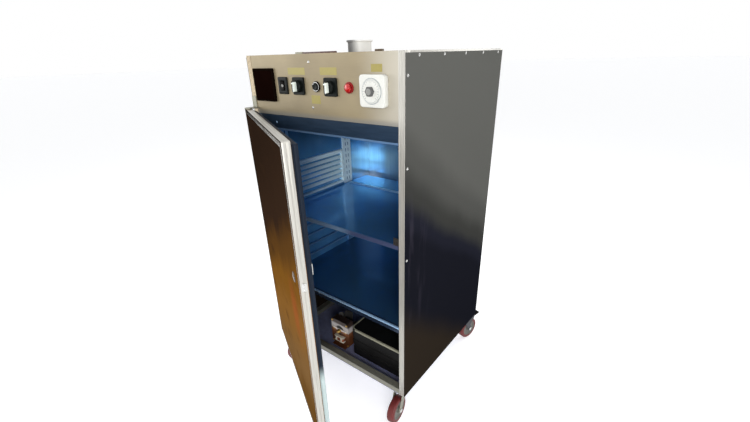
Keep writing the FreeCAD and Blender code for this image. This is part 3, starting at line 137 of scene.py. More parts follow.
def soft_loop(points, radius, steps=4):
    """Closed outline with rounded corners.

    Each corner becomes an arc whose centre lies on the corner's bisector, radius / sin(half angle) away,
    and whose two ends are radius / tan(half angle) from the corner along its two sides.
    """
    points = np.asarray(points, float)
    radius = np.broadcast_to(np.asarray(radius, float), len(points))[:, None]
    back, ahead = unit(np.roll(points, 1, 0) - points), unit(np.roll(points, -1, 0) - points)
    half = np.arccos(np.clip((back * ahead).sum(1), -0.999, 0.999))[:, None] / 2
    centre = points + unit(back + ahead) * radius / np.sin(half)
    first, last = points + back * radius / np.tan(half) - centre, points + ahead * radius / np.tan(half) - centre
    swept = math.pi - 2 * half
    t = np.linspace(0, 1, steps)[None, :]
    w0, w1 = np.sin((1 - t) * swept) / np.sin(swept), np.sin(t * swept) / np.sin(swept)
    return (centre[:, None] + w0[..., None] * first[:, None] + w1[..., None] * last[:, None]).reshape(-1, 2)


def rectangle(width, height, radius, centre=(0.0, 0.0), steps=4):
    """Rounded rectangle about a centre."""
    a, b = width / 2, height / 2
    corners = np.array([(-a, -b), (a, -b), (a, b), (-a, b)]) + centre
    return soft_loop(corners, radius, steps)


def circle(radius, count):
    """Circle as count points: radius (cos, sin)."""
    angle = np.arange(count) * TURN / count
    return np.stack([np.cos(angle), np.sin(angle)], 1) * radius


def outward(loop):
    """Unit normals of a closed outline that point out of it: its tangent turned by a quarter turn."""
    tangent = np.roll(loop, -1, 0) - np.roll(loop, 1, 0)
    area = (loop[:, 0] * np.roll(loop[:, 1], -1) - loop[:, 1] * np.roll(loop[:, 0], -1)).sum()
    return unit(np.stack([tangent[:, 1], -tangent[:, 0]], 1)) * np.sign(area)


def place(flat, axis, level):
    """Points of a plane put in space: the plane is square to the axis, at the given level along it."""
    level = np.broadcast_to(np.asarray(level, float), flat.shape[:-1])
    a, b = flat[..., 0], flat[..., 1]
    order = {"x": (level, a, b), "y": (a, level, b), "z": (a, b, level)}[axis]
    return np.stack(order, -1)


def loft(rings, wrap=False):
    """Closed surface through rings of equally many points.

    Point (i, j) is joined to (i, j + 1), (i + 1, j + 1) and (i + 1, j). The ends are closed with fans to
    the middle of the first and last ring, or with wrap the last ring joins the first. Faces are turned
    round if the volume, the sum of corner . (corner x corner) / 6 over all triangles, is negative.
    """
    rings = np.asarray(rings, float)
    k, n = rings.shape[:2]
    verts = rings.reshape(-1, 3)
    i, j = np.meshgrid(np.arange(k if wrap else k - 1), np.arange(n), indexing="ij")
    after, beside = (i + 1) % k, (j + 1) % n
    quads = np.stack([i * n + j, i * n + beside, after * n + beside, after * n + j], -1).reshape(-1, 4)
    tris = np.zeros((0, 3), int)
    if not wrap:
        verts = np.concatenate([verts, rings[:1].mean(1), rings[-1:].mean(1)])
        ring, around = np.arange(n), (np.arange(n) + 1) % n
        low, high = np.full(n, k * n), np.full(n, k * n + 1)
        last = (k - 1) * n
        tris = np.concatenate([np.stack([low, around, ring], 1), np.stack([high, last + ring, last + around], 1)])
    halves = np.concatenate([tris, quads[:, :3], quads[:, [0, 2, 3]]])
    a, b, c = verts[halves[:, 0]], verts[halves[:, 1]], verts[halves[:, 2]]
    if (a * np.cross(b, c)).sum() < 0:
        quads, tris = quads[:, ::-1], tris[:, ::-1]
    return verts, quads, tris


def prism(outline, axis, low, high, edge=0.0005, steps=3):
    """Outline carried along an axis from low to high.

    Near each end it moves inwards by edge (1 - sin t) while it moves along by edge (1 - cos t), for t from
    0 to a quarter turn, which rounds the rim. One more ring inside each rim keeps the ends flat.
    """
    t = np.linspace(0, math.pi / 2, steps)
    inset, along = edge * (1 - np.sin(t)), edge * (1 - np.cos(t))
    inset = np.concatenate([[edge * 1.35], inset, inset[::-1], [edge * 1.35]])
    level = np.concatenate([[low], low + along, high - along[::-1], [high]])
    rings = outline[None] - inset[:, None, None] * outward(outline)[None]
    return loft(place(rings, axis, level[:, None]))


def layers(outline, axis, inset, level, wrap=False):
    """Outline moved inwards by inset and put at level, ring after ring."""
    inset, level = np.asarray(inset, float), np.asarray(level, float)
    rings = outline[None] - inset[:, None, None] * outward(outline)[None]
    return loft(place(rings, axis, level[:, None]), wrap)


def ring_frame(width, height, centre, axis, section, corner):
    """Frame whose section is swept round a rounded rectangle.

    The section is a closed outline of (inset, level) points; at each point the rectangle is made smaller
    on all sides by the inset, and its corner radius shrinks by as much.
    """
    rings = [rectangle(width - 2 * inset, height - 2 * inset, max(corner - inset, 0.0003), centre)
             for inset, level in section]
    levels = np.array([level for inset, level in section])
    return loft(place(np.stack(rings), axis, levels[:, None]), wrap=True)


def plate(width, height, centre, axis, low, high, corner, edge=0.0005):
    """Rounded rectangular plate along an axis from low to high."""
    return prism(rectangle(width, height, corner, centre), axis, low, high, edge)


def lathe(profile, axis, centre, count=40, wrap=False):
    """Profile of (radius, level) points turned about a line along an axis through a centre.

    With wrap the profile is closed, such as the section of a ring; otherwise its two ends are closed.
    """
    profile = np.asarray(profile, float)
    rings = circle(1.0, count)[None] * profile[:, :1, None]
    points = place(rings, axis, profile[:, 1:2])
    return loft(points + np.asarray(centre, float), wrap)


def tube(path, radius, normal, count=10, closed=False):
    """Round section carried along a flat path.

    At each point the section lies in the plane of the path's normal and its side, normal x tangent.
    """
    path = np.asarray(path, float)
    tangent = np.roll(path, -1, 0) - np.roll(path, 1, 0) if closed else np.gradient(path, axis=0)
    side = unit(np.cross(normal, unit(tangent)))
    ring = circle(radius, count)
    rings = path[:, None] + ring[None, :, :1] * side[:, None] + ring[None, :, 1:] * np.asarray(normal, float)
    return loft(rings, closed)


def moved(shape, shift):
    """The shape carried along a vector."""
    return shape[0] + np.asarray(shift, float), shape[1], shape[2]


def turned(shape, angle, about=(0.0, 0.0, 0.0)):
    """The shape turned about a vertical line: x cos - y sin, x sin + y cos."""
    c, s = math.cos(angle), math.sin(angle)
    rotation = np.array([[c, -s, 0], [s, c, 0], [0, 0, 1]])
    return (shape[0] - about) @ rotation.T + about, shape[1], shape[2]


def spun(shape, angle, about):
    """The shape turned about a line along Y: x cos + z sin, z cos - x sin."""
    c, s = math.cos(angle), math.sin(angle)
    rotation = np.array([[c, 0, s], [0, 1, 0], [-s, 0, c]])
    return (shape[0] - about) @ rotation.T + about, shape[1], shape[2]


def repeated(shape, count, centre):
    """The shape and its turns about a line along Y, evenly round a full turn."""
    return [spun(shape, n * TURN / count, centre) for n in range(count)]


def mirrored(shape):
    """The shape on the cabinet's other side, with its faces turned round again."""
    return shape[0] * (-1, 1, 1), shape[1][:, ::-1], shape[2][:, ::-1]


def swung(shape):
    """A door piece turned from shut to where the door stands."""
    return turned(shape, -DOOR_OPEN, (HINGE[0], HINGE[1], 0.0))


def corners(node):
    """Lowest and highest corner of a solid, as arrays."""
    low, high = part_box(node)
    return np.array(low), np.array(high)


def middle(node):
    """Middle of a solid's box."""
    low, high = corners(node)
    return (low + high) / 2


# faces that meet at more than this keep a sharp edge
SHARP_EDGE = math.radians(38.0)


def piece(name, shapes, finish_name, body, replaces=()):
    """One finished piece from one or more closed shapes, on a body of the incubator."""
    verts, faces, count = [], [], 0
    for points, quads, tris in shapes:
        verts.append(points)
        faces += (quads + count).tolist() + (tris + count).tolist()
        count += len(points)
    mesh = bpy.data.meshes.new(name)
    mesh.from_pydata(np.concatenate(verts).tolist(), [], faces)
    mesh.polygons.foreach_set("use_smooth", np.ones(len(mesh.polygons), bool))
    mesh.set_sharp_from_angle(angle=SHARP_EDGE)
    mesh.materials.append(finish(finish_name))
    mesh.update()
    made = bpy.data.objects.new(name, mesh)
    bpy.context.scene.collection.objects.link(made)
    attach(made, body)
    if replaces:
        dress(finish_name, *replaces)
        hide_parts(*replaces)


# ---------------------------------------------------------------- materials
def linear(display):
    """Display colour to linear colour: c / 12.92 up to 0.04045, above it ((c + 0.055) / 1.055) to the 2.4."""
    c = np.asarray(display, float)
    return tuple(np.where(c <= 0.04045, c / 12.92, ((c + 0.055) / 1.055) ** 2.4)) + (1.0,)


class Shader:
    """One node material, built up from patterns on Object coordinates."""

    def __init__(self, name, metallic=0.0, coat=0.0, coat_roughness=0.1, gloss=0.5):
        self.material = bpy.data.materials.new(name + "_finish")
        self.material.use_nodes = True
        self.tree = self.material.node_tree
        self.tree.nodes.clear()
        output = self.tree.nodes.new("ShaderNodeOutputMaterial")
        self.surface = self.tree.nodes.new("ShaderNodeBsdfPrincipled")
        self.tree.links.new(self.surface.outputs[0], output.inputs["Surface"])
        self.surface.inputs["Metallic"].default_value = metallic
        self.surface.inputs["Specular IOR Level"].default_value = gloss
        self.surface.inputs["Coat Weight"].default_value = coat
        self.surface.inputs["Coat Roughness"].default_value = coat_roughness
        self.object = self.tree.nodes.new("ShaderNodeTexCoord").outputs["Object"]

    def put(self, socket, value):
        """Link a socket, or set a plain value."""
        if isinstance(value, bpy.types.NodeSocket):
            self.tree.links.new(value, socket)
        else:
            socket.default_value = value

    def add(self, kind, inputs, output=0, **settings):
        """A node with its inputs and settings; returns one of its outputs."""
        node = self.tree.nodes.new("ShaderNode" + kind)
        for key, value in settings.items():
            setattr(node, key, value)
        for key, value in inputs.items():
            self.put(node.inputs[key], value)
        return node.outputs[output]

    def coords(self, scale=(1, 1, 1), origin=(0, 0, 0), turn=(0, 0, 0)):
        """Object coordinates about an origin, turned back by turn and then multiplied by scale."""
        local = self.add("Mapping", {"Vector": self.object, "Location": origin, "Rotation": turn},
                         vector_type="TEXTURE")
        return self.add("Mapping", {"Vector": local, "Scale": scale}, vector_type="POINT")

    def noise(self, vector, scale, detail=4.0, roughness=0.55):
        """Noise value from 0 to 1."""
        return self.add("TexNoise", {"Vector": vector, "Scale": scale, "Detail": detail, "Roughness": roughness})

    def remap(self, value, low, high, to_low=0.0, to_high=1.0, smooth=False):
        """Value carried from one range to another, and held at its ends."""
        kind = "SMOOTHSTEP" if smooth else "LINEAR"
        return self.add("MapRange", {"Value": value, "From Min": low, "From Max": high, "To Min": to_low,
                                     "To Max": to_high}, interpolation_type=kind)

    def math(self, operation, a, b=0.0):
        """Arithmetic on two values."""
        return self.add("Math", {0: a, 1: b}, operation=operation)

    def times(self, *values):
        """Product of values."""
        product = values[0]
        for value in values[1:]:
            product = self.math("MULTIPLY", product, value)
        return product

    def plus(self, a, b):
        """Sum of two values."""
        return self.math("ADD", a, b)

    def ease(self, value, low, high, to_low=0.0, to_high=1.0):
        """Remap with soft ends."""
        return self.remap(value, low, high, to_low, to_high, smooth=True)

    def mix(self, first, second, share):
        """Colour between two colours or colour sockets."""
        first, second = (c if isinstance(c, bpy.types.NodeSocket) else linear(c) for c in (first, second))
        return self.add("Mix", {0: share, 6: first, 7: second}, output=2, data_type="RGBA")

    def along(self, vector, axis):
        """One coordinate of a vector."""
        return self.add("SeparateXYZ", {0: vector}, output="XYZ".index(axis))

    def xyz(self, spot=None):
        """The three coordinates, those of the object unless others are given."""
        spot = spot or self.coords()
        return [self.along(spot, axis) for axis in "XYZ"]

    def drift(self, cloud, reach):
        """A cloud's value made a shift of up to half the reach each way."""
        return self.times(self.math("SUBTRACT", cloud, 0.5), reach)

    def stops(self, value, marks):
        """Colour ramp through (place, display colour) marks, eased between them."""
        node = self.tree.nodes.new("ShaderNodeValToRGB")
        node.color_ramp.interpolation = "EASE"
        elements = node.color_ramp.elements
        while len(elements) < len(marks):
            elements.new(0.5)
        for element, (position, shade) in zip(elements, marks):
            element.position = position
            element.color = linear(shade)
        self.put(node.inputs[0], value)
        return node.outputs[0]

    def band(self, value, low, high, soft):
        """1 between low and high, and 0 outside, with soft edges."""
        rise = self.ease(value, low - soft, low + soft)
        return self.times(rise, self.ease(value, high - soft, high + soft, 1.0, 0.0))

    def relief(self, height, depth, strength=1.0):
        """Bump from a height value of 0 to 1, depth metres high."""
        self.put(self.surface.inputs["Normal"],
                 self.add("Bump", {"Height": height, "Distance": depth, "Strength": strength}))

    def done(self, shade, rough):
        """Set the colour and the roughness; returns the material."""
        self.put(self.surface.inputs["Base Color"], shade)
        self.put(self.surface.inputs["Roughness"], rough)
        return self.material


def grained(name, base, accent, rough, metallic=0.0, stretch=(1, 1, 1), scale=60.0, relief=0.00003,
            spread=0.08, coat=0.0, cloud=4.0, gloss=0.5):
    """Two colours mixed by a broad cloud and a fine grain, which also moves the roughness and the bump."""
    s = Shader(name, metallic, coat, gloss=gloss)
    fine = s.noise(s.coords(stretch), scale, 5.0, 0.6)
    broad = s.noise(s.coords(), cloud, 3.0)
    share = s.plus(s.times(fine, 0.5), s.times(broad, 0.5))
    s.relief(fine, relief)
    return s.done(s.mix(base, accent, s.remap(share, 0.32, 0.68)),
                  s.remap(fine, 0.25, 0.75, rough - spread, rough + spread))


def shade_of(base, factor):
    """A colour made lighter or darker."""
    return tuple(min(1.0, c * factor) for c in base)


def user_colours():
    """The colours a user sets."""
    return bpy.context.scene.incubator_colours


def side_enamel_reflection():
    """Enamel of the side panels with a painted reflection: grey above a slanting edge, blue-black below it, warm
    at the front foot, paler streaks near the front.
    """
    c = user_colours()
    s = Shader("side_enamel_reflection", gloss=0.0)
    _, y, z = s.xyz()
    cloud = s.noise(s.coords((1, 1, 0.5)), 3.0, 4.0)
    drift = s.drift(cloud, 0.10)
    # painted reflection: the colour ramp across this slanting level
    level = s.plus(s.plus(z, s.times(y, 0.65)), drift)
    shade = s.stops(s.remap(level, 0.30, 1.30), [
        (0.0, shade_of(c.side_low, 0.95)), (0.27, tuple(c.side_low)), (0.33, shade_of(c.side_low, 1.3)),
        (0.40, shade_of(c.side_top, 0.62)), (0.50, shade_of(c.side_top, 0.86)), (0.60, tuple(c.side_top)),
        (1.0, shade_of(c.side_top, 1.04))])
    foot = s.plus(s.plus(z, s.times(y, 0.8)), drift)
    shade = s.mix(shade, tuple(c.side_foot), s.ease(foot, 0.33, 0.18))
    streak = s.noise(s.coords((1, 9, 1.2)), 4.0, 3.0)
    # painted reflection: pale streaks near the front
    front_reflection_streaks = s.times(s.ease(y, -0.10, -0.28), s.remap(streak, 0.5, 0.75), s.band(z, 0.45, 0.85, 0.08), 0.4)
    shade = s.mix(shade, (0.30, 0.28, 0.33), front_reflection_streaks)
    fine = s.noise(s.coords(), 260.0, 3.0)
    s.relief(s.noise(s.coords(), 14.0, 2.0), 0.0003, 0.3)
    return s.done(shade, s.remap(fine, 0.3, 0.7, 0.36, 0.46))


def door_enamel():
    """Enamel of the door with a painted reflection: near black above a slanting edge, golden brown below it,
    browner at the foot.
    """
    c = user_colours()
    s = Shader("door_enamel", gloss=0.0)
    spot = s.coords(origin=(HINGE[0], HINGE[1], 0.0), turn=(0.0, 0.0, -DOOR_OPEN))
    x, _, z = s.xyz(spot)
    cloud = s.noise(s.add("Mapping", {"Vector": spot, "Scale": (3.0, 1.0, 0.7)}), 3.0, 4.0)
    drift = s.drift(cloud, 0.14)
    # painted reflection: the slanting colour ramp, and the warm patch near the free edge below
    level = s.plus(s.math("SUBTRACT", z, s.times(s.math("SUBTRACT", x, 0.30), 0.45)), drift)
    shade = s.stops(s.remap(level, 0.15, 1.15), [
        (0.0, shade_of(c.door_low, 0.80)), (0.16, (0.46, 0.34, 0.20)), (0.32, tuple(c.door_low)),
        (0.45, (0.45, 0.30, 0.11)), (0.55, (0.33, 0.22, 0.10)), (0.66, shade_of(c.door_top, 1.25)),
        (0.9, tuple(c.door_top))])
    patches = s.noise(s.add("Mapping", {"Vector": spot, "Scale": (1.0, 1.0, 2.2)}), 9.0, 2.0)
    shade = s.mix(shade, (0.20, 0.14, 0.09), s.remap(patches, 0.55, 0.78, 0.0, 0.5))
    warm = s.times(s.band(x, 0.44, 0.52, 0.03), s.band(z, 0.52, 0.66, 0.06), 0.5)
    shade = s.mix(shade, (0.60, 0.30, 0.16), warm)
    s.relief(s.noise(s.coords(), 18.0, 3.0), 0.0003, 0.4)
    fine = s.noise(s.coords(), 260.0, 3.0)
    return s.done(shade, s.remap(fine, 0.3, 0.7, 0.36, 0.46))


def blue_sheet(name, dark, light, rough=0.16, metallic=0.45):
    """Polished blue sheet: a slow cloud between two shades, faint waves and a soft change of gloss."""
    s = Shader(name, metallic)
    cloud = s.noise(s.coords((1, 1, 0.5)), 4.0, 3.0)
    gloss = s.noise(s.coords(), 14.0, 2.0)
    s.relief(s.noise(s.coords(), 7.0, 1.0), 0.0010, 0.25)
    return s, s.mix(dark, light, s.remap(cloud, 0.3, 0.7)), s.remap(gloss, 0.3, 0.7, rough - 0.04, rough + 0.06)


def liner_sheet():
    """Polished lining: blue sheet with painted reflections, a paler patch low in the upper chamber and pale bands
    on the back and left walls, and painted shade darker under the ceiling.
    """
    c = user_colours()
    s, base, rough = blue_sheet("liner_sheet", shade_of(c.liner, 0.80), shade_of(c.liner, 1.12))
    x, y, z = s.xyz()
    # painted shade under the ceiling
    base = s.mix(base, shade_of(c.liner, 0.50), s.ease(z, 0.86, 0.98, 0.0, 0.8))
    # painted reflection: paler upper back wall
    base = s.mix(base, (0.42, 0.53, 0.64), s.times(s.remap(y, 0.22, 0.26), s.remap(z, 0.66, 0.70, 0.0, 0.75)))
    stripes = s.noise(s.coords((12, 12, 0.6)), 6.0, 2.0)
    # painted reflection: pale streaked bands on the back and left walls
    back = s.times(s.band(z, 0.73, 0.84, 0.035), s.ease(x, -0.02, -0.22), s.ease(y, 0.20, 0.26))
    left = s.times(s.band(z, 0.735, 0.85, 0.04), s.ease(y, -0.08, 0.08), s.ease(x, -0.24, -0.28))
    painted_reflection = s.times(s.math("MAXIMUM", back, left), s.remap(stripes, 0.25, 0.7, 0.6, 1.0), 0.8)
    base = s.mix(base, (0.76, 0.93, 0.97), painted_reflection)
    # painted reflection: pale patch in the back-left corner
    corner = s.times(s.band(x, -0.30, -0.225, 0.03), s.ease(y, 0.14, 0.22), s.band(z, 0.46, 0.72, 0.03), 0.8)
    return s.done(s.mix(base, (0.92, 0.96, 1.0), corner), rough)


def shelf_sheet():
    """Sheet of the shelf and the chamber floor: blue, duller on the right, the floor and its front edge darker
    with painted shade.
    """
    c = user_colours()
    s, base, rough = blue_sheet("shelf_sheet", shade_of(c.liner, 0.98), shade_of(c.liner, 1.14), 0.12, 0.55)
    x, y, z = s.xyz()
    base = s.mix(base, shade_of(c.liner, 0.68), s.ease(x, -0.08, 0.20, 0.0, 0.9))
    # painted shade: the chamber floor and its front face darker
    low = s.remap(z, 0.60, 0.50)
    base = s.mix(base, shade_of(c.liner, 0.46), s.times(low, 0.75))
    front = s.times(s.remap(y, -0.276, -0.284), low, 0.85)
    return s.done(s.mix(base, (0.15, 0.18, 0.26), front), rough)


def support_steel():
    """Bright steel of the louvres and slotted uprights: a painted highlight towards the back on the left, painted
    shade at the front on the right, dull elsewhere.
    """
    s = Shader("support_steel", 0.1)
    x, y, z = s.xyz()
    lines = s.noise(s.coords((1, 1, 0.08)), 300.0, 4.0)
    # painted highlight: pale towards the back on the left, high in the chamber
    pale = s.times(s.ease(y, -0.22, 0.02), s.band(z, 0.72, 0.99, 0.02), s.remap(x, 0.0, -0.1))
    shade = s.mix((0.30, 0.43, 0.58), (0.38, 0.53, 0.70), lines)
    shade = s.mix(shade, s.mix((0.84, 0.97, 1.0), (0.96, 1.0, 1.0), lines), pale)
    # painted shade: darker at the front on the right
    shade = s.mix(shade, (0.17, 0.19, 0.30), s.times(s.remap(x, 0.0, 0.1), s.remap(y, 0.0, -0.1)))
    s.relief(lines, 0.00003)
    return s.done(shade, s.remap(lines, 0.3, 0.7, 0.26, 0.36))


def lip_steel():
    """Folded front edge of a sheet: light blue on the left, dark violet past the middle."""
    s = Shader("lip_steel", 0.2)
    grain = s.noise(s.coords((0.1, 1, 1)), 200.0, 3.0)
    shade = s.mix((0.40, 0.50, 0.63), (0.50, 0.61, 0.74), grain)
    right = s.ease(s.xyz()[0], 0.02, 0.10, 0.0, 0.85)
    return s.done(s.mix(shade, (0.17, 0.17, 0.32), right), s.remap(grain, 0.3, 0.7, 0.32, 0.44))


def seal_rubber():
    """Soft gasket of the door: dark blue, paler in its lower half."""
    s = Shader("seal_rubber", gloss=0.15)
    z = s.xyz()[2]
    cloud = s.noise(s.coords(), 300.0, 3.0)
    dark = s.mix((0.05, 0.08, 0.12), (0.08, 0.12, 0.18), cloud)
    pale = s.mix((0.66, 0.72, 0.72), (0.74, 0.80, 0.80), cloud)
    s.relief(cloud, 0.00003)
    return s.done(s.mix(dark, pale, s.ease(z, 0.48, 0.42)), s.remap(cloud, 0.3, 0.7, 0.5, 0.7))


def panel_sheet():
    """Sheet of the control panel: faint long lines across it, a paler right end, a dull strip at its foot."""
    c = user_colours()
    s = Shader("panel_sheet", 0.15, gloss=0.3)
    x, _, z = s.xyz()
    lines = s.noise(s.coords((0.03, 1, 1)), 1400.0, 4.0, 0.7)
    broad = s.noise(s.coords((1, 1, 1.4)), 5.0, 3.0)
    share = s.plus(s.times(lines, 0.25), s.times(broad, 0.75))
    shade = s.mix(shade_of(c.panel, 0.94), shade_of(c.panel, 1.06), s.remap(share, 0.38, 0.62))
    shade = s.mix(shade, (0.74, 0.72, 0.67), s.ease(x, 0.14, 0.30, 0.0, 0.85))
    low = corners("control_fascia")[0][2]
    foot = s.ease(z, low + 0.018, low + 0.002, 0.0, 0.65)
    shade = s.mix(shade, (0.50, 0.50, 0.49), foot)
    s.relief(lines, 0.00002, 0.5)
    return s.done(shade, s.remap(lines, 0.3, 0.7, 0.40, 0.48))


def anodised():
    """Anodised aluminium: lines along the section, silver on the right and warmer towards the left."""
    c = user_colours()
    s = Shader("anodised", 0.4)
    lines = s.noise(s.coords((1, 1, 0.02)), 500.0, 5.0, 0.6)
    shade = s.mix(shade_of(c.aluminium, 0.88), c.aluminium, s.remap(lines, 0.32, 0.68))
    shade = s.mix(shade, (0.54, 0.46, 0.31), s.ease(s.xyz()[0], -0.22, -0.28, 0.0, 0.75))
    s.relief(lines, 0.00002)
    return s.done(shade, s.remap(lines, 0.25, 0.75, 0.28, 0.42))


def vent_paint():
    """White paint of the vent pipe, with painted shade down the side away from the side panel."""
    spot = (*middle("vent_stack")[:2], 0.0)
    s = Shader("vent_paint")
    across = s.along(s.coords(origin=spot, turn=(0.0, 0.0, math.radians(38.0))), "X")
    cloud = s.noise(s.coords((1, 1, 0.4)), 60.0, 3.0)
    # painted shade down one side of the pipe
    vent_painted_shade = s.times(s.ease(s.plus(across, s.times(cloud, 0.010)), 0.008, -0.026), 0.9)
    white = s.mix((0.84, 0.84, 0.83), (0.90, 0.90, 0.89), cloud)
    return s.done(s.mix(white, (0.16, 0.16, 0.17), vent_painted_shade), s.remap(cloud, 0.3, 0.7, 0.35, 0.5))


def copper_wire():
    """Enamelled copper winding: a wire's round back in every layer."""
    c, pitch = user_colours(), bpy.context.scene.incubator_sizes.winding_pitch
    s = Shader("copper_wire", 0.7, 0.4, 0.1)
    rows = s.add("TexWave", {"Vector": s.coords(), "Scale": 1.0 / (pitch * 20.0) * TURN / 2, "Distortion": 0.4,
                             "Detail": 1.0}, output=1, wave_type="BANDS", bands_direction="Z", wave_profile="SIN")
    cloud = s.noise(s.coords(), 60.0, 3.0)
    dark = s.mix(shade_of(c.copper, 0.45), c.copper, rows)
    s.relief(rows, 0.0003)
    return s.done(s.mix(dark, shade_of(c.copper, 1.25), s.remap(cloud, 0.5, 0.8)), 0.3)


def laminations():
    """Stack of thin steel sheets with fine joints: dark on top, a painted silver highlight at the shaft, copper
    varnish below.
    """
    s = Shader("laminations", 0.3, 0.15, 0.2)
    joints = s.add("TexWave", {"Vector": s.coords(), "Scale": 160.0, "Distortion": 0.3}, output=1,
                   wave_type="BANDS", bands_direction="Y", wave_profile="SIN")
    cloud = s.noise(s.coords(), 35.0, 4.0)
    z = s.xyz()[2]
    # the silver stops are a painted highlight at the shaft
    varnish_and_highlight = s.stops(s.remap(z, 0.19, 0.27), [
        (0.0, (0.46, 0.27, 0.15)), (0.28, (0.60, 0.38, 0.24)), (0.36, (0.95, 0.92, 0.90)),
        (0.58, (0.90, 0.88, 0.88)), (0.72, (0.30, 0.23, 0.20)), (1.0, (0.16, 0.12, 0.10))])
    shade = s.mix(varnish_and_highlight, (0.10, 0.06, 0.04), s.times(joints, cloud, 0.8))
    s.relief(joints, 0.0002)
    return s.done(shade, s.remap(cloud, 0.3, 0.7, 0.32, 0.50))


def lamp_lens():
    """Red lens of the pilot lamp: deep colour with rings and a clear gloss."""
    s = Shader("lamp_lens", 0.0, 0.8, 0.04)
    cloud = s.noise(s.coords(), 90.0, 2.0)
    s.surface.inputs["Transmission Weight"].default_value = 0.25
    s.relief(cloud, 0.00005)
    return s.done(s.mix((0.62, 0.05, 0.07), (0.85, 0.13, 0.12), s.remap(cloud, 0.3, 0.7)), 0.16)


PLAIN = {
    # name: base, accent, roughness, other settings of grained()
    "header_edge": ((0.28, 0.38, 0.50), (0.36, 0.47, 0.60), 0.4,
                    dict(stretch=(0.1, 1, 1), scale=200, gloss=0.2)),
    "stop_steel": ((0.50, 0.68, 0.84), (0.62, 0.79, 0.93), 0.35,
                   dict(metallic=0.3, stretch=(0.1, 1, 1), scale=200)),
    "header_sheet": ((0.12, 0.18, 0.25), (0.16, 0.235, 0.32), 0.38,
                     dict(metallic=0.2, stretch=(0.1, 1, 1), scale=200)),
    "aged_bronze": ((0.24, 0.18, 0.12), (0.34, 0.26, 0.17), 0.45, dict(metallic=0.3, scale=160)),
    "top_paint": ((0.66, 0.62, 0.55), (0.76, 0.73, 0.66), 0.5, dict(scale=180, relief=0.00006)),
    "frame_paint": ((0.42, 0.42, 0.38), (0.54, 0.53, 0.48), 0.42, dict(metallic=0.3, scale=140)),
    # pan of the machine bay: grey paint made bluer and lighter to paint the bay's reflections
    "pan_paint": ((0.46, 0.47, 0.60), (0.58, 0.60, 0.74), 0.33, dict(metallic=0.2, scale=60, cloud=9)),
    "back_paint": ((0.10, 0.10, 0.11), (0.15, 0.15, 0.16), 0.38, dict(coat=0.2, scale=240)),
    "fitting_steel": ((0.52, 0.66, 0.80), (0.66, 0.78, 0.90), 0.32,
                      dict(metallic=0.3, stretch=(1, 1, 0.08), scale=300)),
    "bright_steel": ((0.66, 0.66, 0.65), (0.80, 0.80, 0.79), 0.26, dict(metallic=0.9, scale=220)),
    "dark_steel": ((0.24, 0.24, 0.24), (0.36, 0.35, 0.34), 0.42, dict(metallic=0.7, scale=160)),
    "zinc_steel": ((0.44, 0.44, 0.39), (0.58, 0.57, 0.51), 0.40, dict(metallic=0.65, scale=90, cloud=30)),
    "black_steel": ((0.11, 0.11, 0.13), (0.19, 0.19, 0.22), 0.40, dict(metallic=0.4, scale=110, cloud=30)),
    "hot_sheath": ((0.34, 0.28, 0.24), (0.48, 0.38, 0.30), 0.45, dict(metallic=0.6, scale=120, cloud=20)),
    "insulating_foam": ((0.80, 0.75, 0.55), (0.88, 0.84, 0.68), 0.9, dict(scale=500, relief=0.0002)),
    "motor_enamel": ((0.16, 0.16, 0.17), (0.24, 0.24, 0.25), 0.36, dict(coat=0.2, scale=150)),
    "tank_plastic": ((0.04, 0.04, 0.04), (0.10, 0.10, 0.10), 0.4,
                     dict(scale=90, cloud=14, relief=0.00008, gloss=0.1)),
    "tank_trim": ((0.52, 0.52, 0.44), (0.64, 0.63, 0.55), 0.45, dict(scale=200)),
    "black_plastic": ((0.045, 0.035, 0.03), (0.08, 0.065, 0.055), 0.38,
                      dict(scale=420, relief=0.00004, gloss=0.05)),
    "knob_plastic": ((0.045, 0.05, 0.05), (0.09, 0.11, 0.10), 0.34, dict(scale=300, gloss=0.1)),
    "grey_plastic": ((0.42, 0.42, 0.40), (0.55, 0.54, 0.52), 0.4, dict(scale=350)),
    "display_case": ((0.05, 0.03, 0.022), (0.08, 0.05, 0.035), 0.4, dict(scale=300, gloss=0.0)),
    "display_glass": ((0.05, 0.018, 0.012), (0.075, 0.028, 0.02), 0.3,
                      dict(scale=20, relief=0.00001, spread=0.04, gloss=0.0)),
    "rim_red": ((0.48, 0.06, 0.07), (0.58, 0.09, 0.10), 0.3, dict(scale=200, gloss=0.3)),
    "white_plastic": ((0.82, 0.82, 0.79), (0.88, 0.88, 0.86), 0.42, dict(scale=300, gloss=0.3)),
    # grey of the rings round the dial: painted shade at its rim and a printed line
    "dial_print_and_painted_shade": ((0.60, 0.63, 0.64), (0.68, 0.70, 0.71), 0.42, dict(scale=300, gloss=0.2)),
    "pointer_white": ((0.86, 0.90, 0.86), (0.95, 0.97, 0.94), 0.35, dict(scale=300)),
    "hub_grey": ((0.26, 0.26, 0.26), (0.36, 0.36, 0.35), 0.35, dict(scale=300)),
    "print_grey": ((0.46, 0.46, 0.45), (0.60, 0.60, 0.58), 0.5, dict(scale=300)),
    "cover_brown": ((0.22, 0.09, 0.07), (0.32, 0.16, 0.12), 0.45, dict(scale=200)),
    "hub_nylon": ((0.30, 0.30, 0.28), (0.42, 0.41, 0.38), 0.5, dict(scale=200)),
    "brass": ((0.66, 0.52, 0.26), (0.78, 0.65, 0.38), 0.3, dict(metallic=0.85, scale=200)),
    "bobbin_white": ((0.80, 0.77, 0.70), (0.92, 0.90, 0.84), 0.4, dict(scale=200)),
}


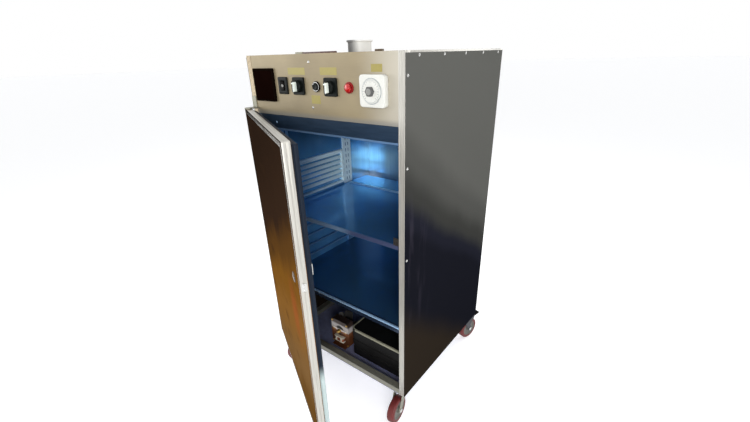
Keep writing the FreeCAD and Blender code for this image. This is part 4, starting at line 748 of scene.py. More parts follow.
def user_plain(name):
    """Plain finishes whose colour a user sets."""
    c = user_colours()
    if name == "label_film":
        return grained(name, shade_of(c.label, 0.92), c.label, 0.4, 0.0, scale=150)
    if name == "tyre_rubber":
        return grained(name, shade_of(c.tyre, 0.7), c.tyre, 0.55, 0.0, scale=260, relief=0.0001, cloud=30)
    base, accent, rough, rest = PLAIN[name]
    return grained(name, base, accent, rough, **rest)


SPECIAL = {make.__name__: make for make in (
    side_enamel_reflection, door_enamel, liner_sheet, shelf_sheet, support_steel, lip_steel, seal_rubber, panel_sheet,
    anodised, vent_paint, copper_wire, laminations, lamp_lens)}


def finish(name):
    """The finish of that name, made when it is first asked for."""
    made = bpy.data.materials.get(name + "_finish")
    if made:
        return made
    return SPECIAL[name]() if name in SPECIAL else user_plain(name)


def dress(finish_name, *nodes):
    """Give solids that stay as they are a finish."""
    for node in nodes:
        data = NODES[node].data
        if not data.materials:
            data.materials.append(None)
        for slot in NODES[node].material_slots:
            slot.material = finish(finish_name)


# ---------------------------------------------------------------- one operator for each group of pieces
class Builder(bpy.types.Operator):
    """Base of the operators: run build()."""
    bl_options = {"REGISTER", "UNDO"}

    def execute(self, context):
        self.build(context.scene.incubator_sizes)
        return {"FINISHED"}


def shown_directly(tree):
    """1 for rays from the camera, off gloss and through glass, and 0 for the light that falls on things."""
    path = tree.nodes.new("ShaderNodeLightPath")
    seen = path.outputs["Is Camera Ray"]
    for ray in ("Is Glossy Ray", "Is Transmission Ray"):
        either = tree.nodes.new("ShaderNodeMath")
        either.operation = "MAXIMUM"
        tree.links.new(seen, either.inputs[0])
        tree.links.new(path.outputs[ray], either.inputs[1])
        seen = either.outputs[0]
    return seen


class INCUBATOR_OT_stage(Builder):
    """Floor, lamps, background and camera"""
    bl_idname = "incubator.stage"
    bl_label = "Stage"

    def build(self, sizes):
        scene = bpy.context.scene
        around, reach, sunk = 96, np.array([0.5, 4.0, 60.0]), 0.0006
        points, quads, _ = loft(place(circle(1.0, around)[None] * reach[:, None, None], "z", -sunk))
        ground = bpy.data.meshes.new("ground")
        ground.from_pydata(points.tolist(), [], quads.tolist() + [list(range(around - 1, -1, -1))])
        floor = bpy.data.objects.new("ground", ground)
        scene.collection.objects.link(floor)
        s = Shader("pale_floor")
        speck = s.noise(s.coords(), 30.0, 2.0)
        pale = s.done(s.mix((0.93, 0.93, 0.93), (0.95, 0.95, 0.95), speck), 0.7)
        s.put(s.surface.inputs["Emission Color"], linear((1.0, 1.0, 1.0)))
        s.put(s.surface.inputs["Emission Strength"], s.times(shown_directly(s.tree), 0.45))
        ground.materials.append(pale)

        world = bpy.data.worlds.new("studio")
        world.use_nodes = True
        scene.world = world
        tree = world.node_tree
        tree.nodes.clear()
        out = tree.nodes.new("ShaderNodeOutputWorld")
        lit, shown = tree.nodes.new("ShaderNodeBackground"), tree.nodes.new("ShaderNodeBackground")
        for background, tint, strength in ((lit, (0.95, 0.97, 1.0, 1.0), 0.55),
                                           (shown, (1.0, 1.0, 1.0, 1.0), 1.0)):
            background.inputs["Color"].default_value = tint
            background.inputs["Strength"].default_value = strength
        blend = tree.nodes.new("ShaderNodeMixShader")
        tree.links.new(shown_directly(tree), blend.inputs[0])
        tree.links.new(lit.outputs[0], blend.inputs[1])
        tree.links.new(shown.outputs[0], blend.inputs[2])
        tree.links.new(blend.outputs[0], out.inputs["Surface"])
        scene.view_settings.view_transform = "Standard"

        middle_height = np.array([0.0, -0.1, 0.65])
        for name, spot, size, power in (("key_lamp", (1.75, -2.3, 1.35), 1.2, 56.0),
                                        ("door_lamp", (-2.4, -2.0, 1.7), 1.8, 35.0),
                                        ("top_lamp", (0.3, 0.6, 3.3), 1.8, 30.0),
                                        ("back_lamp", (1.5, 2.8, 1.8), 2.0, 30.0)):
            lamp = bpy.data.lights.new(name, "AREA")
            lamp.size, lamp.energy = size, power
            holder = bpy.data.objects.new(name, lamp)
            direction = middle_height - spot
            holder.location = spot
            holder.rotation_euler = Vector(direction).to_track_quat("-Z", "Y").to_euler()
            scene.collection.objects.link(holder)

        view = bpy.data.cameras.new("front_right_view")
        view.lens, view.sensor_width = 18.19, 36.0
        view.shift_x, view.shift_y = -0.003, 0.029
        camera = bpy.data.objects.new("front_right_view", view)
        azimuth, elevation, roll = math.radians(38.4), math.radians(25.21), math.radians(-1.7)
        ahead = np.array([-math.sin(azimuth) * math.cos(elevation), math.cos(azimuth) * math.cos(elevation),
                          -math.sin(elevation)])
        right = unit(np.cross(ahead, (0, 0, 1)))
        up = np.cross(right, ahead)
        tilted_right = math.cos(roll) * right + math.sin(roll) * up
        tilted_up = math.cos(roll) * up - math.sin(roll) * right
        axes = np.stack([tilted_right, tilted_up, -ahead], 1)
        camera.matrix_world = Matrix([list(row) + [spot] for row, spot in zip(axes, (0.8388, -1.0924, 1.2310))]
                                        + [[0, 0, 0, 1]])
        scene.collection.objects.link(camera)
        scene.camera = camera


# the finish of each solid that stays as it is
DRESSED = (
    ("side_enamel_reflection", "side_panels"),
    ("back_paint", "back_panel"),
    ("top_paint", "top_panel"),
    ("frame_paint", "base_frame"),
    ("pan_paint", "base_pan"),
    ("header_sheet", "header_rail"),
    ("panel_sheet", "control_fascia"),
    ("liner_sheet", "chamber_liner"),
    ("shelf_sheet", "chamber_floor", "chamber_ceiling", "mid_shelf"),
    ("insulating_foam", "wall_insulation", "door_core"),
    ("support_steel", "shelf_supports", "tray_rails"),
    ("dark_steel", "lock_keeper"),
    ("zinc_steel", "hinge_brackets", "caster_plates"),
    ("door_enamel", "door_skins"),
    ("bright_steel", "sensor_probe", "lock_cam"),
    ("hot_sheath", "heater"),
    ("laminations", "blower_motor"),
    ("black_plastic", "power_inlet"),
)


class INCUBATOR_OT_solids(Builder):
    """Materials of the solids that stay as they are"""
    bl_idname = "incubator.solids"
    bl_label = "Panels and sheets"

    def build(self, sizes):
        for finish_name, *nodes in DRESSED:
            dress(finish_name, *nodes)


def angle_section(side, end, grooved):
    """Section of a corner post: an angle with soft corners, and two grooves in a front one."""
    low, high = corners("corner_posts")
    wide, deep, metal, groove = ANGLE_WIDE, ANGLE_DEEP, ANGLE_WALL, 0.0010
    leg = [(0, 0)]
    if grooved:
        for start in (0.0060, 0.0132):
            leg += [(start, 0), (start + 0.0006, groove), (start + 0.0026, groove), (start + 0.0032, 0)]
    leg += [(wide, 0), (wide, metal), (metal, metal), (metal, deep), (0, deep)]
    radius = [bpy.context.scene.incubator_sizes.post_edge] + [0.0003] * (len(leg) - 6) + [0.0006] * 5
    outline = soft_loop(leg, radius)
    outer = np.array([high[0] if side > 0 else low[0], high[1] if end > 0 else low[1]])
    return outer - outline * (side, end)


def trim_section(outer, wide, top, radius):
    """Section of a top trim: an angle with its outer corner at (outer, top)."""
    wall = ANGLE_WALL
    return soft_loop([(outer, top), (outer - wide, top), (outer - wide, top - wall), (outer - wall, top - wall),
                      (outer - wall, top - ANGLE_DEEP), (outer, top - ANGLE_DEEP)], [radius] + [0.0005] * 5)


class INCUBATOR_OT_posts(Builder):
    """Corner posts and top trims with soft edges and grooves"""
    bl_idname = "incubator.posts"
    bl_label = "Posts and trims"

    def build(self, sizes):
        low, high = corners("corner_posts")
        edge = sizes.sheet_edge
        posts = [prism(angle_section(s, e, e < 0), "z", low[2], high[2], edge) for s in (-1, 1) for e in (-1, 1)]
        piece("post_extrusions", posts, "anodised", "cabinet", ("corner_posts",))
        side = trim_section(high[0], ANGLE_WIDE, high[2], sizes.post_edge)
        trim = prism(side, "y", low[1] + ANGLE_DEEP, high[1] - ANGLE_DEEP, edge)
        rear = trim_section(high[1], ANGLE_DEEP, high[2], sizes.post_edge)
        back = prism(rear, "x", low[0] + ANGLE_WIDE, high[0] - ANGLE_WIDE, edge)
        piece("top_trim_angles", [trim, mirrored(trim), back], "anodised", "cabinet",
              ("top_trims",))


def dome_screw(radius, height, spin):
    """Pan head with a cross recess, on z = 0.

    Height falls as 1 - (r / R)^2.6, less a recess where |x| or |y| is under a seventh of R, turned by spin.
    """
    r = np.linspace(1.0, 0.08, 9)[:, None] * radius
    angle = np.arange(24)[None] * TURN / 24
    x, y = r * np.cos(angle), r * np.sin(angle)
    cx, cy = r * np.cos(angle + spin), r * np.sin(angle + spin)
    cross = ((np.minimum(abs(cx), abs(cy)) < radius / 7) & (r < 0.62 * radius)).astype(float)
    z = height * (1 - (r / radius) ** 2.6) - cross * height * 0.45
    rings = np.stack([x, y, z + 0 * x], -1)
    skirt = np.stack([x[:1], y[:1], x[:1] * 0 - height * 0.15], -1)
    return loft(np.concatenate([skirt, rings]))


def aimed(shape, axis, at):
    """A shape that stands on z = 0, laid so that its +Z points along an axis, and moved to a place."""
    x, y, z = shape[0].T
    stacked = {"+x": (z, x, y), "-x": (-z, y, x), "-y": (x, -z, y), "+y": (y, z, x), "+z": (x, y, z),
               "-z": (y, x, -z)}[axis]
    return np.stack(stacked, 1) + np.asarray(at, float), shape[1], shape[2]


class INCUBATOR_OT_screws(Builder):
    """Cross-head screws along the trims, the posts and the control panel"""
    bl_idname = "incubator.screws"
    bl_label = "Screws"

    def build(self, sizes):
        low, high = corners("side_panels")
        outer, front = high[0], low[1]
        sides, face = (("+x", outer), ("-x", -outer)), corners("control_fascia")[0][1] + 0.0008
        spots = [(axis, (x, front + inset, TRIM_SCREW_Z)) for inset in SCREWS_ALONG for axis, x in sides]
        spots += [(axis, (x, front + ANGLE_DEEP / 2, level)) for level in SCREWS_UP for axis, x in sides]
        spots += [("-y", (x, face, level)) for x, level in ((-0.021, 1.217), (-0.019, 1.095))]
        heads = [aimed(dome_screw(0.0040, 0.0016, 1.1 * (n + 1)), axis, at)
                 for n, (axis, at) in enumerate(spots)]
        head = aimed(dome_screw(0.0040, 0.0014, 0.6), "-y", (-0.196, corners("header_rail")[0][1], 1.041))
        piece("header_screw", [head], "fitting_steel", "cabinet")
        piece("trim_screws", heads, "bright_steel", "cabinet", ("panel_screws",))


class INCUBATOR_OT_top(Builder):
    """Vent stack and the small covers on the top"""
    bl_idname = "incubator.top"
    bl_label = "Top"

    def build(self, sizes):
        low, high = corners("vent_stack")
        centre = (*middle("vent_stack")[:2], 0.0)
        rim, bore = (high[0] - low[0]) / 2, 0.035
        pipe = rim - 0.004
        section = soft_loop([(bore, low[2]), (pipe, low[2]), (pipe, high[2] - 0.006), (rim, high[2] - 0.005),
                             (rim, high[2]), (bore, high[2])], [0.0006, 0.0006, 0.0015, 0.001, 0.0014, 0.0010])
        stack = lathe(section, "z", centre, 64, wrap=True)
        piece("vent_pipe", [stack], "vent_paint", "cabinet", ("vent_stack",))
        top = corners("top_panel")[1][2]
        half = soft_loop([(-0.0045, 0.0), (0.0045, 0.0), (0.0030, 0.0062), (-0.0030, 0.0062)], 0.0008)
        duct = prism(half + (-0.268, top), "x", -0.067, 0.063, 0.0008)
        piece("cable_cover", [duct], "cover_brown", "cabinet")
        end = prism(half * (1.12, 1.10) + (-0.268, top), "x", -0.097, -0.066, 0.0008)
        piece("cable_cover_end", [end], "tank_trim", "cabinet")
        clip = prism(rectangle(0.022, 0.012, 0.002, (0.209, -0.268)), "z", top, top + 0.007, 0.0015)
        piece("cable_clip", [clip], "aged_bronze", "cabinet")


# ---------------------------------------------------------------- door
class INCUBATOR_OT_door(Builder):
    """Door edge, gasket and lock"""
    bl_idname = "incubator.door"
    bl_label = "Door"

    def build(self, sizes):
        width, height = 2 * DOOR_SIDE, DOOR_HIGH - DOOR_LOW
        centre = (0.0, (DOOR_HIGH + DOOR_LOW) / 2)
        mid = (DOOR_OUT + DOOR_IN) / 2
        edge = sizes.moulded_edge
        strip = soft_loop([(0.012, DOOR_OUT), (0.0, DOOR_OUT), (0.0, mid - 0.0012), (0.0009, mid - 0.0005),
                           (0.0009, mid + 0.0005), (0.0, mid + 0.0012), (0.0, DOOR_IN), (0.012, DOOR_IN)],
                          [0.0004, edge, 0.0003, 0.0002, 0.0002, 0.0003, edge, 0.0004])
        frame_strip = ring_frame(width, height, centre, "y", strip, 0.0015)
        piece("door_edge_moulding", [swung(frame_strip)], "anodised", "door", ("door_edge_frame",))
        front, back = DOOR_IN, DOOR_IN + 0.0155
        bulb = soft_loop([(0.0200, front), (0.0080, front), (0.0080, front + 0.004), (0.0095, front + 0.006),
                          (0.0080, front + 0.009), (0.0090, back), (0.0190, back), (0.0200, front + 0.009),
                          (0.0185, front + 0.006), (0.0200, front + 0.004)],
                         [0.0004, 0.0004, 0.0008, 0.0008, 0.0014, 0.0022, 0.0022, 0.0014, 0.0008, 0.0008])
        seal = ring_frame(width, height, centre, "y", bulb, 0.0090)
        piece("door_seal", [swung(seal)], "seal_rubber", "door", ("door_gasket",))

        collar = [(0.0112, DOOR_OUT + 0.001), (0.0140, DOOR_OUT - 0.0001), (0.0140, DOOR_OUT - 0.0010),
                  (0.0128, DOOR_OUT - 0.0020), (0.0075, DOOR_OUT - 0.0020), (0.0066, DOOR_OUT - 0.0012),
                  (0.0062, DOOR_OUT - 0.0012)]
        plug = [(0.0060, DOOR_OUT - 0.0026), (0.0054, DOOR_OUT - 0.0030), (0.0004, DOOR_OUT - 0.0030)]
        barrel = lathe([(0.0110, DOOR_IN + 0.001)] + collar + plug, "y", (LOCK_X, 0.0, LOCK_Z), 40)
        face = plate(0.022, 0.012, (LOCK_Z, mid), "x", DOOR_SIDE - 0.0002, DOOR_SIDE + 0.0010, 0.0015, 0.0003)
        face = (face[0][:, [0, 2, 1]], face[1][:, ::-1], face[2][:, ::-1])
        screws = [aimed(dome_screw(0.0017, 0.0006, spin), "+x", (DOOR_SIDE + 0.0009, mid, LOCK_Z + rise))
                  for spin, rise in ((0.4, 0.0078), (1.3, -0.0078))]
        piece("door_lock", [swung(barrel)], "aged_bronze", "door", ("lock_barrel",))
        piece("lock_face", [swung(shape) for shape in [face] + screws], "bright_steel", "door")


# ---------------------------------------------------------------- control panel
class INCUBATOR_OT_controls(Builder):
    """Controller, switches, lamp, regulator and labels"""
    bl_idname = "incubator.controls"
    bl_label = "Controls"

    def build(self, sizes):
        edge = sizes.moulded_edge
        x, face = CONTROLLER_X, -0.302
        bezel = soft_loop([(0.0, PANEL_FACE), (0.0, face), (0.0055, face), (0.0062, face + 0.0024),
                           (0.0062, PANEL_FACE)], [0.0003, edge, 0.0006, 0.0004, 0.0004])
        rim = ring_frame(0.096, 0.096, (x, ROW), "y", bezel, 0.003)
        body = plate(0.0915, 0.0915, (x, ROW), "y", face + 0.0018, -0.216, 0.002)
        piece("controller_frame", [rim, body], "display_case", "cabinet", ("controller_case",))
        pane = plate(0.0836, 0.0836, (x, ROW), "y", -0.3019, -0.3006, 0.0012, 0.0005)
        piece("controller_pane", [pane], "display_glass", "cabinet", ("controller_window",))

        surround = soft_loop([(0.0, PANEL_FACE), (0.0, -0.299), (0.0095, -0.299), (0.0118, -0.2965),
                              (0.0118, -0.2880), (0.0064, -0.2880), (0.0064, PANEL_FACE)],
                             [0.0003, edge, 0.0008, 0.0004, 0.0004, 0.0002, 0.0002])
        plates = [ring_frame(0.041, 0.0484, (SWITCH_X, ROW), "y", surround, 0.004)]
        plates.append(plate(0.0284, 0.0355, (SWITCH_X, ROW), "y", -0.2882, PANEL_BACK, 0.002))
        for name, x in SELECTORS:
            plates.append(plate(0.048, 0.048, (x, ROW), "y", -0.300, PANEL_FACE, 0.004, edge))
            plates.append(lathe([(0.0112, PANEL_BACK), (0.0112, PANEL_FACE)], "y", (x, 0, ROW), 32))
        piece("switch_plates", plates, "knob_plastic", "cabinet", ("switch_frames",))
        profile = [(t * 0.0120, -0.2996 - 0.0018 * t * t) for t in np.linspace(-1, 1, 9)]
        profile += [(0.0112, -0.2950), (-0.0112, -0.2950)]
        outline = soft_loop([(y, z) for z, y in profile], 0.0002, 2)
        key = prism(outline, "x", SWITCH_X - 0.008, SWITCH_X + 0.008, 0.0008)
        piece("rocker_key", [moved(key, (0, 0, ROW))], "black_plastic", "rocker", ("rocker",))
        oval = prism(soft_loop([(a * 0.0052, b * 0.0042) for a, b in circle(1.0, 20)], 0.0001, 2)
                     + (SWITCH_X, ROW), "y", -0.3003, -0.2992, 0.0003)
        piece("rocker_mark", [oval], "grey_plastic", "rocker")

        lines = []
        for name, x in SELECTORS:
            disc = lathe([(0.0030, -0.2946), (0.0030, -0.3004), (0.0168, -0.3004), (0.0170, -0.3012),
                          (0.0168, -0.3080), (0.0158, -0.3092), (0.0012, -0.3094)], "y", (x, 0, ROW), 56)
            piece("selector_body_" + name, [disc], "knob_plastic", "selector_" + name,
                  ("selector_knob_" + name,))
            drop = soft_loop([(-0.0046, -0.0158), (0.0046, -0.0158), (0.0034, 0.0158), (-0.0034, 0.0158)],
                             [0.0040, 0.0040, 0.0028, 0.0028])
            grip = prism(drop + (x, ROW), "y", -0.3211, -0.3088, 0.0012, 4)
            leaf = soft_loop([(0.0000, -0.0150), (0.0048, -0.0150), (0.0038, 0.0130), (0.0010, 0.0130)],
                             [0.0008, 0.0034, 0.0014, 0.0008])
            mark = prism(leaf + (x, ROW), "y", -0.3213, -0.3090, 0.0006)
            wing = plate(0.0060, 0.0036, (x - 0.0010, ROW + 0.0085), "y", -0.3213, -0.3200, 0.0006, 0.0002)
            piece("selector_grip_" + name, [grip], "knob_plastic", "selector_" + name)
            piece("selector_pointer_" + name, [mark, wing], "pointer_white", "selector_" + name)
            lines.append(plate(0.0078, 0.0040, (x - 0.0195, ROW + 0.0088), "y", -0.3005, -0.2998,
                               0.0006, 0.0001))
        piece("selector_lines", lines, "pointer_white", "cabinet")

        for name, x, rim_finish, replaced in (("button", BUTTON_X, "black_plastic", ("round_bezels",)),
                                              ("pilot", PILOT_X, "rim_red", ())):
            rim = lathe([(0.0109, PANEL_BACK), (0.0109, PANEL_FACE), (0.0144, PANEL_FACE), (0.0145, -0.2975),
                         (0.0138, -0.2988), (0.0122, -0.2990), (0.0108, -0.2972), (0.0098, -0.2972),
                         (0.0098, PANEL_BACK)], "y", (x, 0, ROW), 48, wrap=True)
            piece("bezel_ring_" + name, [rim], rim_finish, "cabinet", replaced)
        shine = [(0.0116 + 0.0009 * math.cos(t), -0.2990 + 0.0005 * math.sin(t))
                 for t in np.linspace(0, TURN, 9)[:-1]]
        trim = lathe(shine, "y", (BUTTON_X, 0, ROW), 48, wrap=True)
        piece("button_trim", [trim], "bright_steel", "cabinet")
        cap = lathe([(0.0040, -0.2902), (0.0094, -0.2930), (0.0095, -0.3018), (0.0086, -0.3029),
                     (0.0070, -0.3028), (0.0040, -0.3022), (0.0008, -0.3020)], "y", (BUTTON_X, 0, ROW), 48)
        piece("button_cap", [cap], "knob_plastic", "button", ("push_button",))
        lens = [(0.0104, -0.2992), (0.0105, -0.3030)]
        lens += [(0.0104 * math.cos(t) ** 0.8, -0.3030 - 0.0040 * math.sin(t)) for t in np.linspace(0.1, 1.5, 9)]
        steps = [(r - (0.0004 if n % 2 and 1 < n < 9 else 0.0), y) for n, (r, y) in enumerate(lens)]
        piece("lamp_cover", [lathe(steps, "y", (PILOT_X, 0, ROW), 48)], "lamp_lens", "cabinet",
              ("pilot_lens",))

        x, z = REGULATOR_X, REGULATOR_Z
        box = plate(0.080, 0.078, (x, z), "y", -0.312, PANEL_FACE, 0.009, 0.0030)
        rear = lathe([(0.0109, PANEL_BACK), (0.0109, PANEL_FACE)], "y", (x, 0, z), 32)
        step = soft_loop([(0.0, -0.3110), (0.0004, -0.3123), (0.0012, -0.3123), (0.0016, -0.3110)], 0.0002)
        ledge = ring_frame(0.066, 0.064, (x, z), "y", step, 0.006)
        piece("regulator_case", [box, rear, ledge], "white_plastic", "cabinet",
              ("regulator_box",))
        dial = lathe([(0.0030, -0.3066), (0.0030, -0.3124), (0.0286, -0.3124), (0.0290, -0.3132),
                      (0.0288, -0.3156), (0.0280, -0.3163), (0.0150, -0.3164), (0.0010, -0.3164)], "y",
                     (x, 0, z), 72)
        piece("regulator_dial", [dial], "white_plastic", "regulator", ("regulator_knob",))
        hexagon = soft_loop(circle(0.0128, 6), 0.0016)
        cone = layers(hexagon + (x, z), "y", [0.0, 0.0, 0.0, 0.0010, 0.0018],
                      [-0.3160, -0.3180, -0.3230, -0.3246, -0.3253])
        piece("regulator_hub", [cone], "hub_grey", "regulator")
        cap = lathe([(0.0078, -0.3250), (0.0078, -0.32535), (0.0070, -0.3254), (0.0010, -0.3254)], "y",
                    (x, 0, z), 32)
        piece("regulator_cap", [cap], "print_grey", "regulator")
        well = [(0.0292, -0.3110), (0.0294, -0.31235), (0.0312, -0.31235), (0.0314, -0.3110)]
        bead = [(0.0262, -0.3160), (0.0264, -0.31655), (0.0272, -0.31655), (0.0274, -0.3160)]
        # the well and the bead are grey rings: painted shade round the dial and a printed line on it
        for name, section, body, slot in (("well", well, "cabinet", "white_plastic"),
                                          ("bead", bead, "regulator", "dial_white")):
            ring = lathe(section, "y", (x, 0, z), 64, wrap=True)
            piece("regulator_" + name, [ring], "dial_print_and_painted_shade", body)
        ticks = []
        for n, angle in enumerate(np.radians(np.arange(-135, 136, 15))):
            long = 0.0052 if n % 3 == 0 else 0.0032
            tick = plate(0.0009, long, (x, z + 0.0258 - long / 2), "y", -0.31652, -0.3160, 0.0002, 0.0001)
            ticks.append(spun(tick, angle, (x, 0.0, z)))
        piece("regulator_scale", ticks, "print_grey", "regulator")

        stickers = []
        for x, z, wide, tall in ((-0.076, 1.193, 0.072, 0.019), (0.053, 1.193, 0.063, 0.019),
                                 (-0.003, 1.118, 0.036, 0.023), (0.219, 1.201, 0.035, 0.018)):
            stickers.append(plate(wide, tall, (x, z), "y", PANEL_FACE - 0.0003, PANEL_FACE + 0.0002,
                                  0.0012, 0.0001))
        piece("blank_labels", stickers, "label_film", "cabinet")


# ---------------------------------------------------------------- chamber
def blade(hub, tip, root_chord, tip_chord, pitch, thick, camber):
    """Fan blade that points along +Z from the axis Y.

    Sections from hub to tip: chord and thickness change evenly, the mean line bows by
    camber chord (1 - s^2), the pitch falls by a third from root to tip, and the tip is rounded.
    """
    u = np.linspace(0, 1, 12)
    radius = hub * 0.8 + (tip - hub * 0.8) * u
    chord = (root_chord + (tip_chord - root_chord) * np.sin(u * 1.9) / math.sin(1.9))
    chord *= np.sqrt(np.clip(1 - np.clip((u - 0.8) / 0.2, 0, 1) ** 2 * 0.75, 0, 1))
    angle = pitch * (1.15 - 0.35 * u)
    s = np.concatenate([np.linspace(-1, 1, 11), np.linspace(1, -1, 11)[1:-1]])
    side = np.concatenate([np.ones(11), -np.ones(9)])
    bulge = np.sqrt(np.clip(1 - s ** 4, 0, 1))
    across = s[None] * chord[:, None] / 2
    lift = camber * chord[:, None] * (1 - s[None] ** 2) + side * bulge * thick / 2
    x = across * np.cos(angle)[:, None] - lift * np.sin(angle)[:, None]
    y = across * np.sin(angle)[:, None] + lift * np.cos(angle)[:, None]
    return loft(np.stack([x, y, np.broadcast_to(radius[:, None], x.shape)], -1))


class INCUBATOR_OT_chamber(Builder):
    """Louvres, circulation fan, guard and shelf edges"""
    bl_idname = "incubator.chamber"
    bl_label = "Chamber"

    def build(self, sizes):
        low, high = corners("louvre_panel")
        centre = ((low[1] + high[1]) / 2, (low[2] + high[2]) / 2)
        span, tall = high[1] - low[1], high[2] - low[2]
        rim = soft_loop([(0.0, low[0]), (0.0, high[0]), (0.008, high[0]), (0.008, low[0])],
                        [0.0003, sizes.moulded_edge, sizes.moulded_edge, 0.0003])
        shapes = [ring_frame(span, tall, centre, "x", rim, 0.004)]
        t = np.linspace(0, 1, 7)
        curve = np.stack([low[0] + 0.0012 + 0.0096 * t, 0.0050 - 0.0096 * t ** 1.8], 1)
        hood = np.concatenate([curve, curve[::-1] + (-0.0005, -0.0011)])
        for n in range(7):
            level = centre[1] + (n - 3) * 0.0206
            if low[2] + 0.012 < level < high[2] - 0.010:
                blade_bar = soft_loop(hood, 0.0001, 2) + (0.0, level)
                rings = np.stack([place(blade_bar, "y", y) for y in (low[1] + 0.007, centre[0], high[1] - 0.007)])
                shapes.append(loft(rings))
        piece("louvres", shapes, "support_steel", "cabinet", ("louvre_panel",))

        x, z, wire = FAN_X, FAN_Z, sizes.wire
        angle = np.arange(72) * TURN / 72
        cage = []
        for reach in (0.0325, 0.0650, 0.0975, 0.1300):
            path = np.stack([x + reach * np.cos(angle), np.full(72, 0.212), z + reach * np.sin(angle)], 1)
            cage.append(tube(path, wire, (0.0, 1.0, 0.0), 8, closed=True))
        for n in range(6):
            turn = TURN * (n + 0.5) / 6
            spoke = np.stack([np.linspace(0.029, 0.1318, 8) + x, np.full(8, 0.2140), np.full(8, z)], 1)
            cage.append(spun(tube(spoke, wire * 0.9, (0.0, 1.0, 0.0), 8), turn, (x, 0, z)))
            leg = lathe([(0.0024, 0.2135), (0.0026, 0.2150), (0.0026, 0.2685), (0.0026, 0.2725),
                         (0.0026, 0.2739)], "y", (x + 0.130, 0, z), 12)
            cage.append(spun(leg, turn, (x, 0, z)))
        piece("fan_cage", cage, "bright_steel", "cabinet", ("fan_guard",))
        hub = lathe([(0.0041, 0.2362), (0.0118, 0.2362), (0.0138, 0.2380), (0.0140, 0.2478), (0.0041, 0.2479)],
                    "y", (x, 0, z), 40)
        vane = blade(0.014, 0.0815, 0.026, 0.048, math.radians(26), 0.0016, 0.07)
        wheel = [hub] + repeated(moved(vane, (x, 0.242, z)), 5, (x, 0, z))
        piece("circulation_fan", wheel, "bright_steel", "fan", ("fan_blades",))
        ribs = [(0.0040, 0.2345), (0.0040, 0.2600), (0.0340, 0.2600), (0.0358, 0.2615), (0.0360, 0.2730),
                (0.0360, 0.2935)]
        for n in range(5):
            at = 0.2960 + n * 0.0040
            ribs += [(0.0360, at), (0.0360, at + 0.0016), (0.0340, at + 0.0020), (0.0340, at + 0.0036)]
        ribs += [(0.0350, 0.3180), (0.0340, 0.3225), (0.0300, 0.3245), (0.0100, 0.3248), (0.0006, 0.3248)]
        piece("fan_motor_body", [lathe(ribs, "y", (x, 0, z), 64)], "motor_enamel", "cabinet",
              ("fan_motor",))

        low, high = corners("mid_shelf")
        lip = soft_loop([(low[1], high[2]), (low[1] + 0.0030, high[2]), (low[1] + 0.0016, high[2] - 0.0016),
                         (low[1] + 0.0016, low[2] + 0.001), (low[1], low[2])], [0.0016] + [0.0004] * 4)
        bar = prism(lip, "x", low[0] + 0.0005, high[0] - 0.0005, 0.0004)
        piece("shelf_lip", [moved(bar, (0, -0.0002, 0.0001))], "lip_steel", "shelf")
        stop = soft_loop([(0.106, high[2] - 0.0002), (0.114, high[2] - 0.0002), (0.114, high[2] + 0.0055),
                          (0.106, high[2] + 0.0055)], [0.0002, 0.0002, 0.0018, 0.0018])
        piece("shelf_stop", [prism(stop, "x", low[0] + 0.012, high[0] - 0.012, 0.0006)], "stop_steel", "shelf")
        low, high = corners("header_rail")
        lip = soft_loop([(low[1] - 0.0006, low[2]), (low[1] + 0.006, low[2]), (low[1] + 0.006, low[2] + 0.002),
                         (low[1] - 0.0002, low[2] + 0.0055), (low[1] - 0.0006, low[2] + 0.0050)], 0.0004)
        piece("header_lip", [prism(lip, "x", -LIP_END, LIP_END, 0.0003)], "header_edge", "cabinet")
        low, high = corners("chamber_floor")
        lip = soft_loop([(low[1] - 0.0004, high[2] + 0.0003), (low[1] + 0.006, high[2] + 0.0003),
                         (low[1] + 0.006, high[2] - 0.002), (low[1] + 0.0006, high[2] - 0.005),
                         (low[1] - 0.0004, high[2] - 0.005)], [0.0012, 0.0001, 0.0002, 0.0002, 0.0002])
        bar = prism(lip, "x", -LIP_END, LIP_END, 0.0003)
        piece("floor_lip", [bar], "fitting_steel", "cabinet")


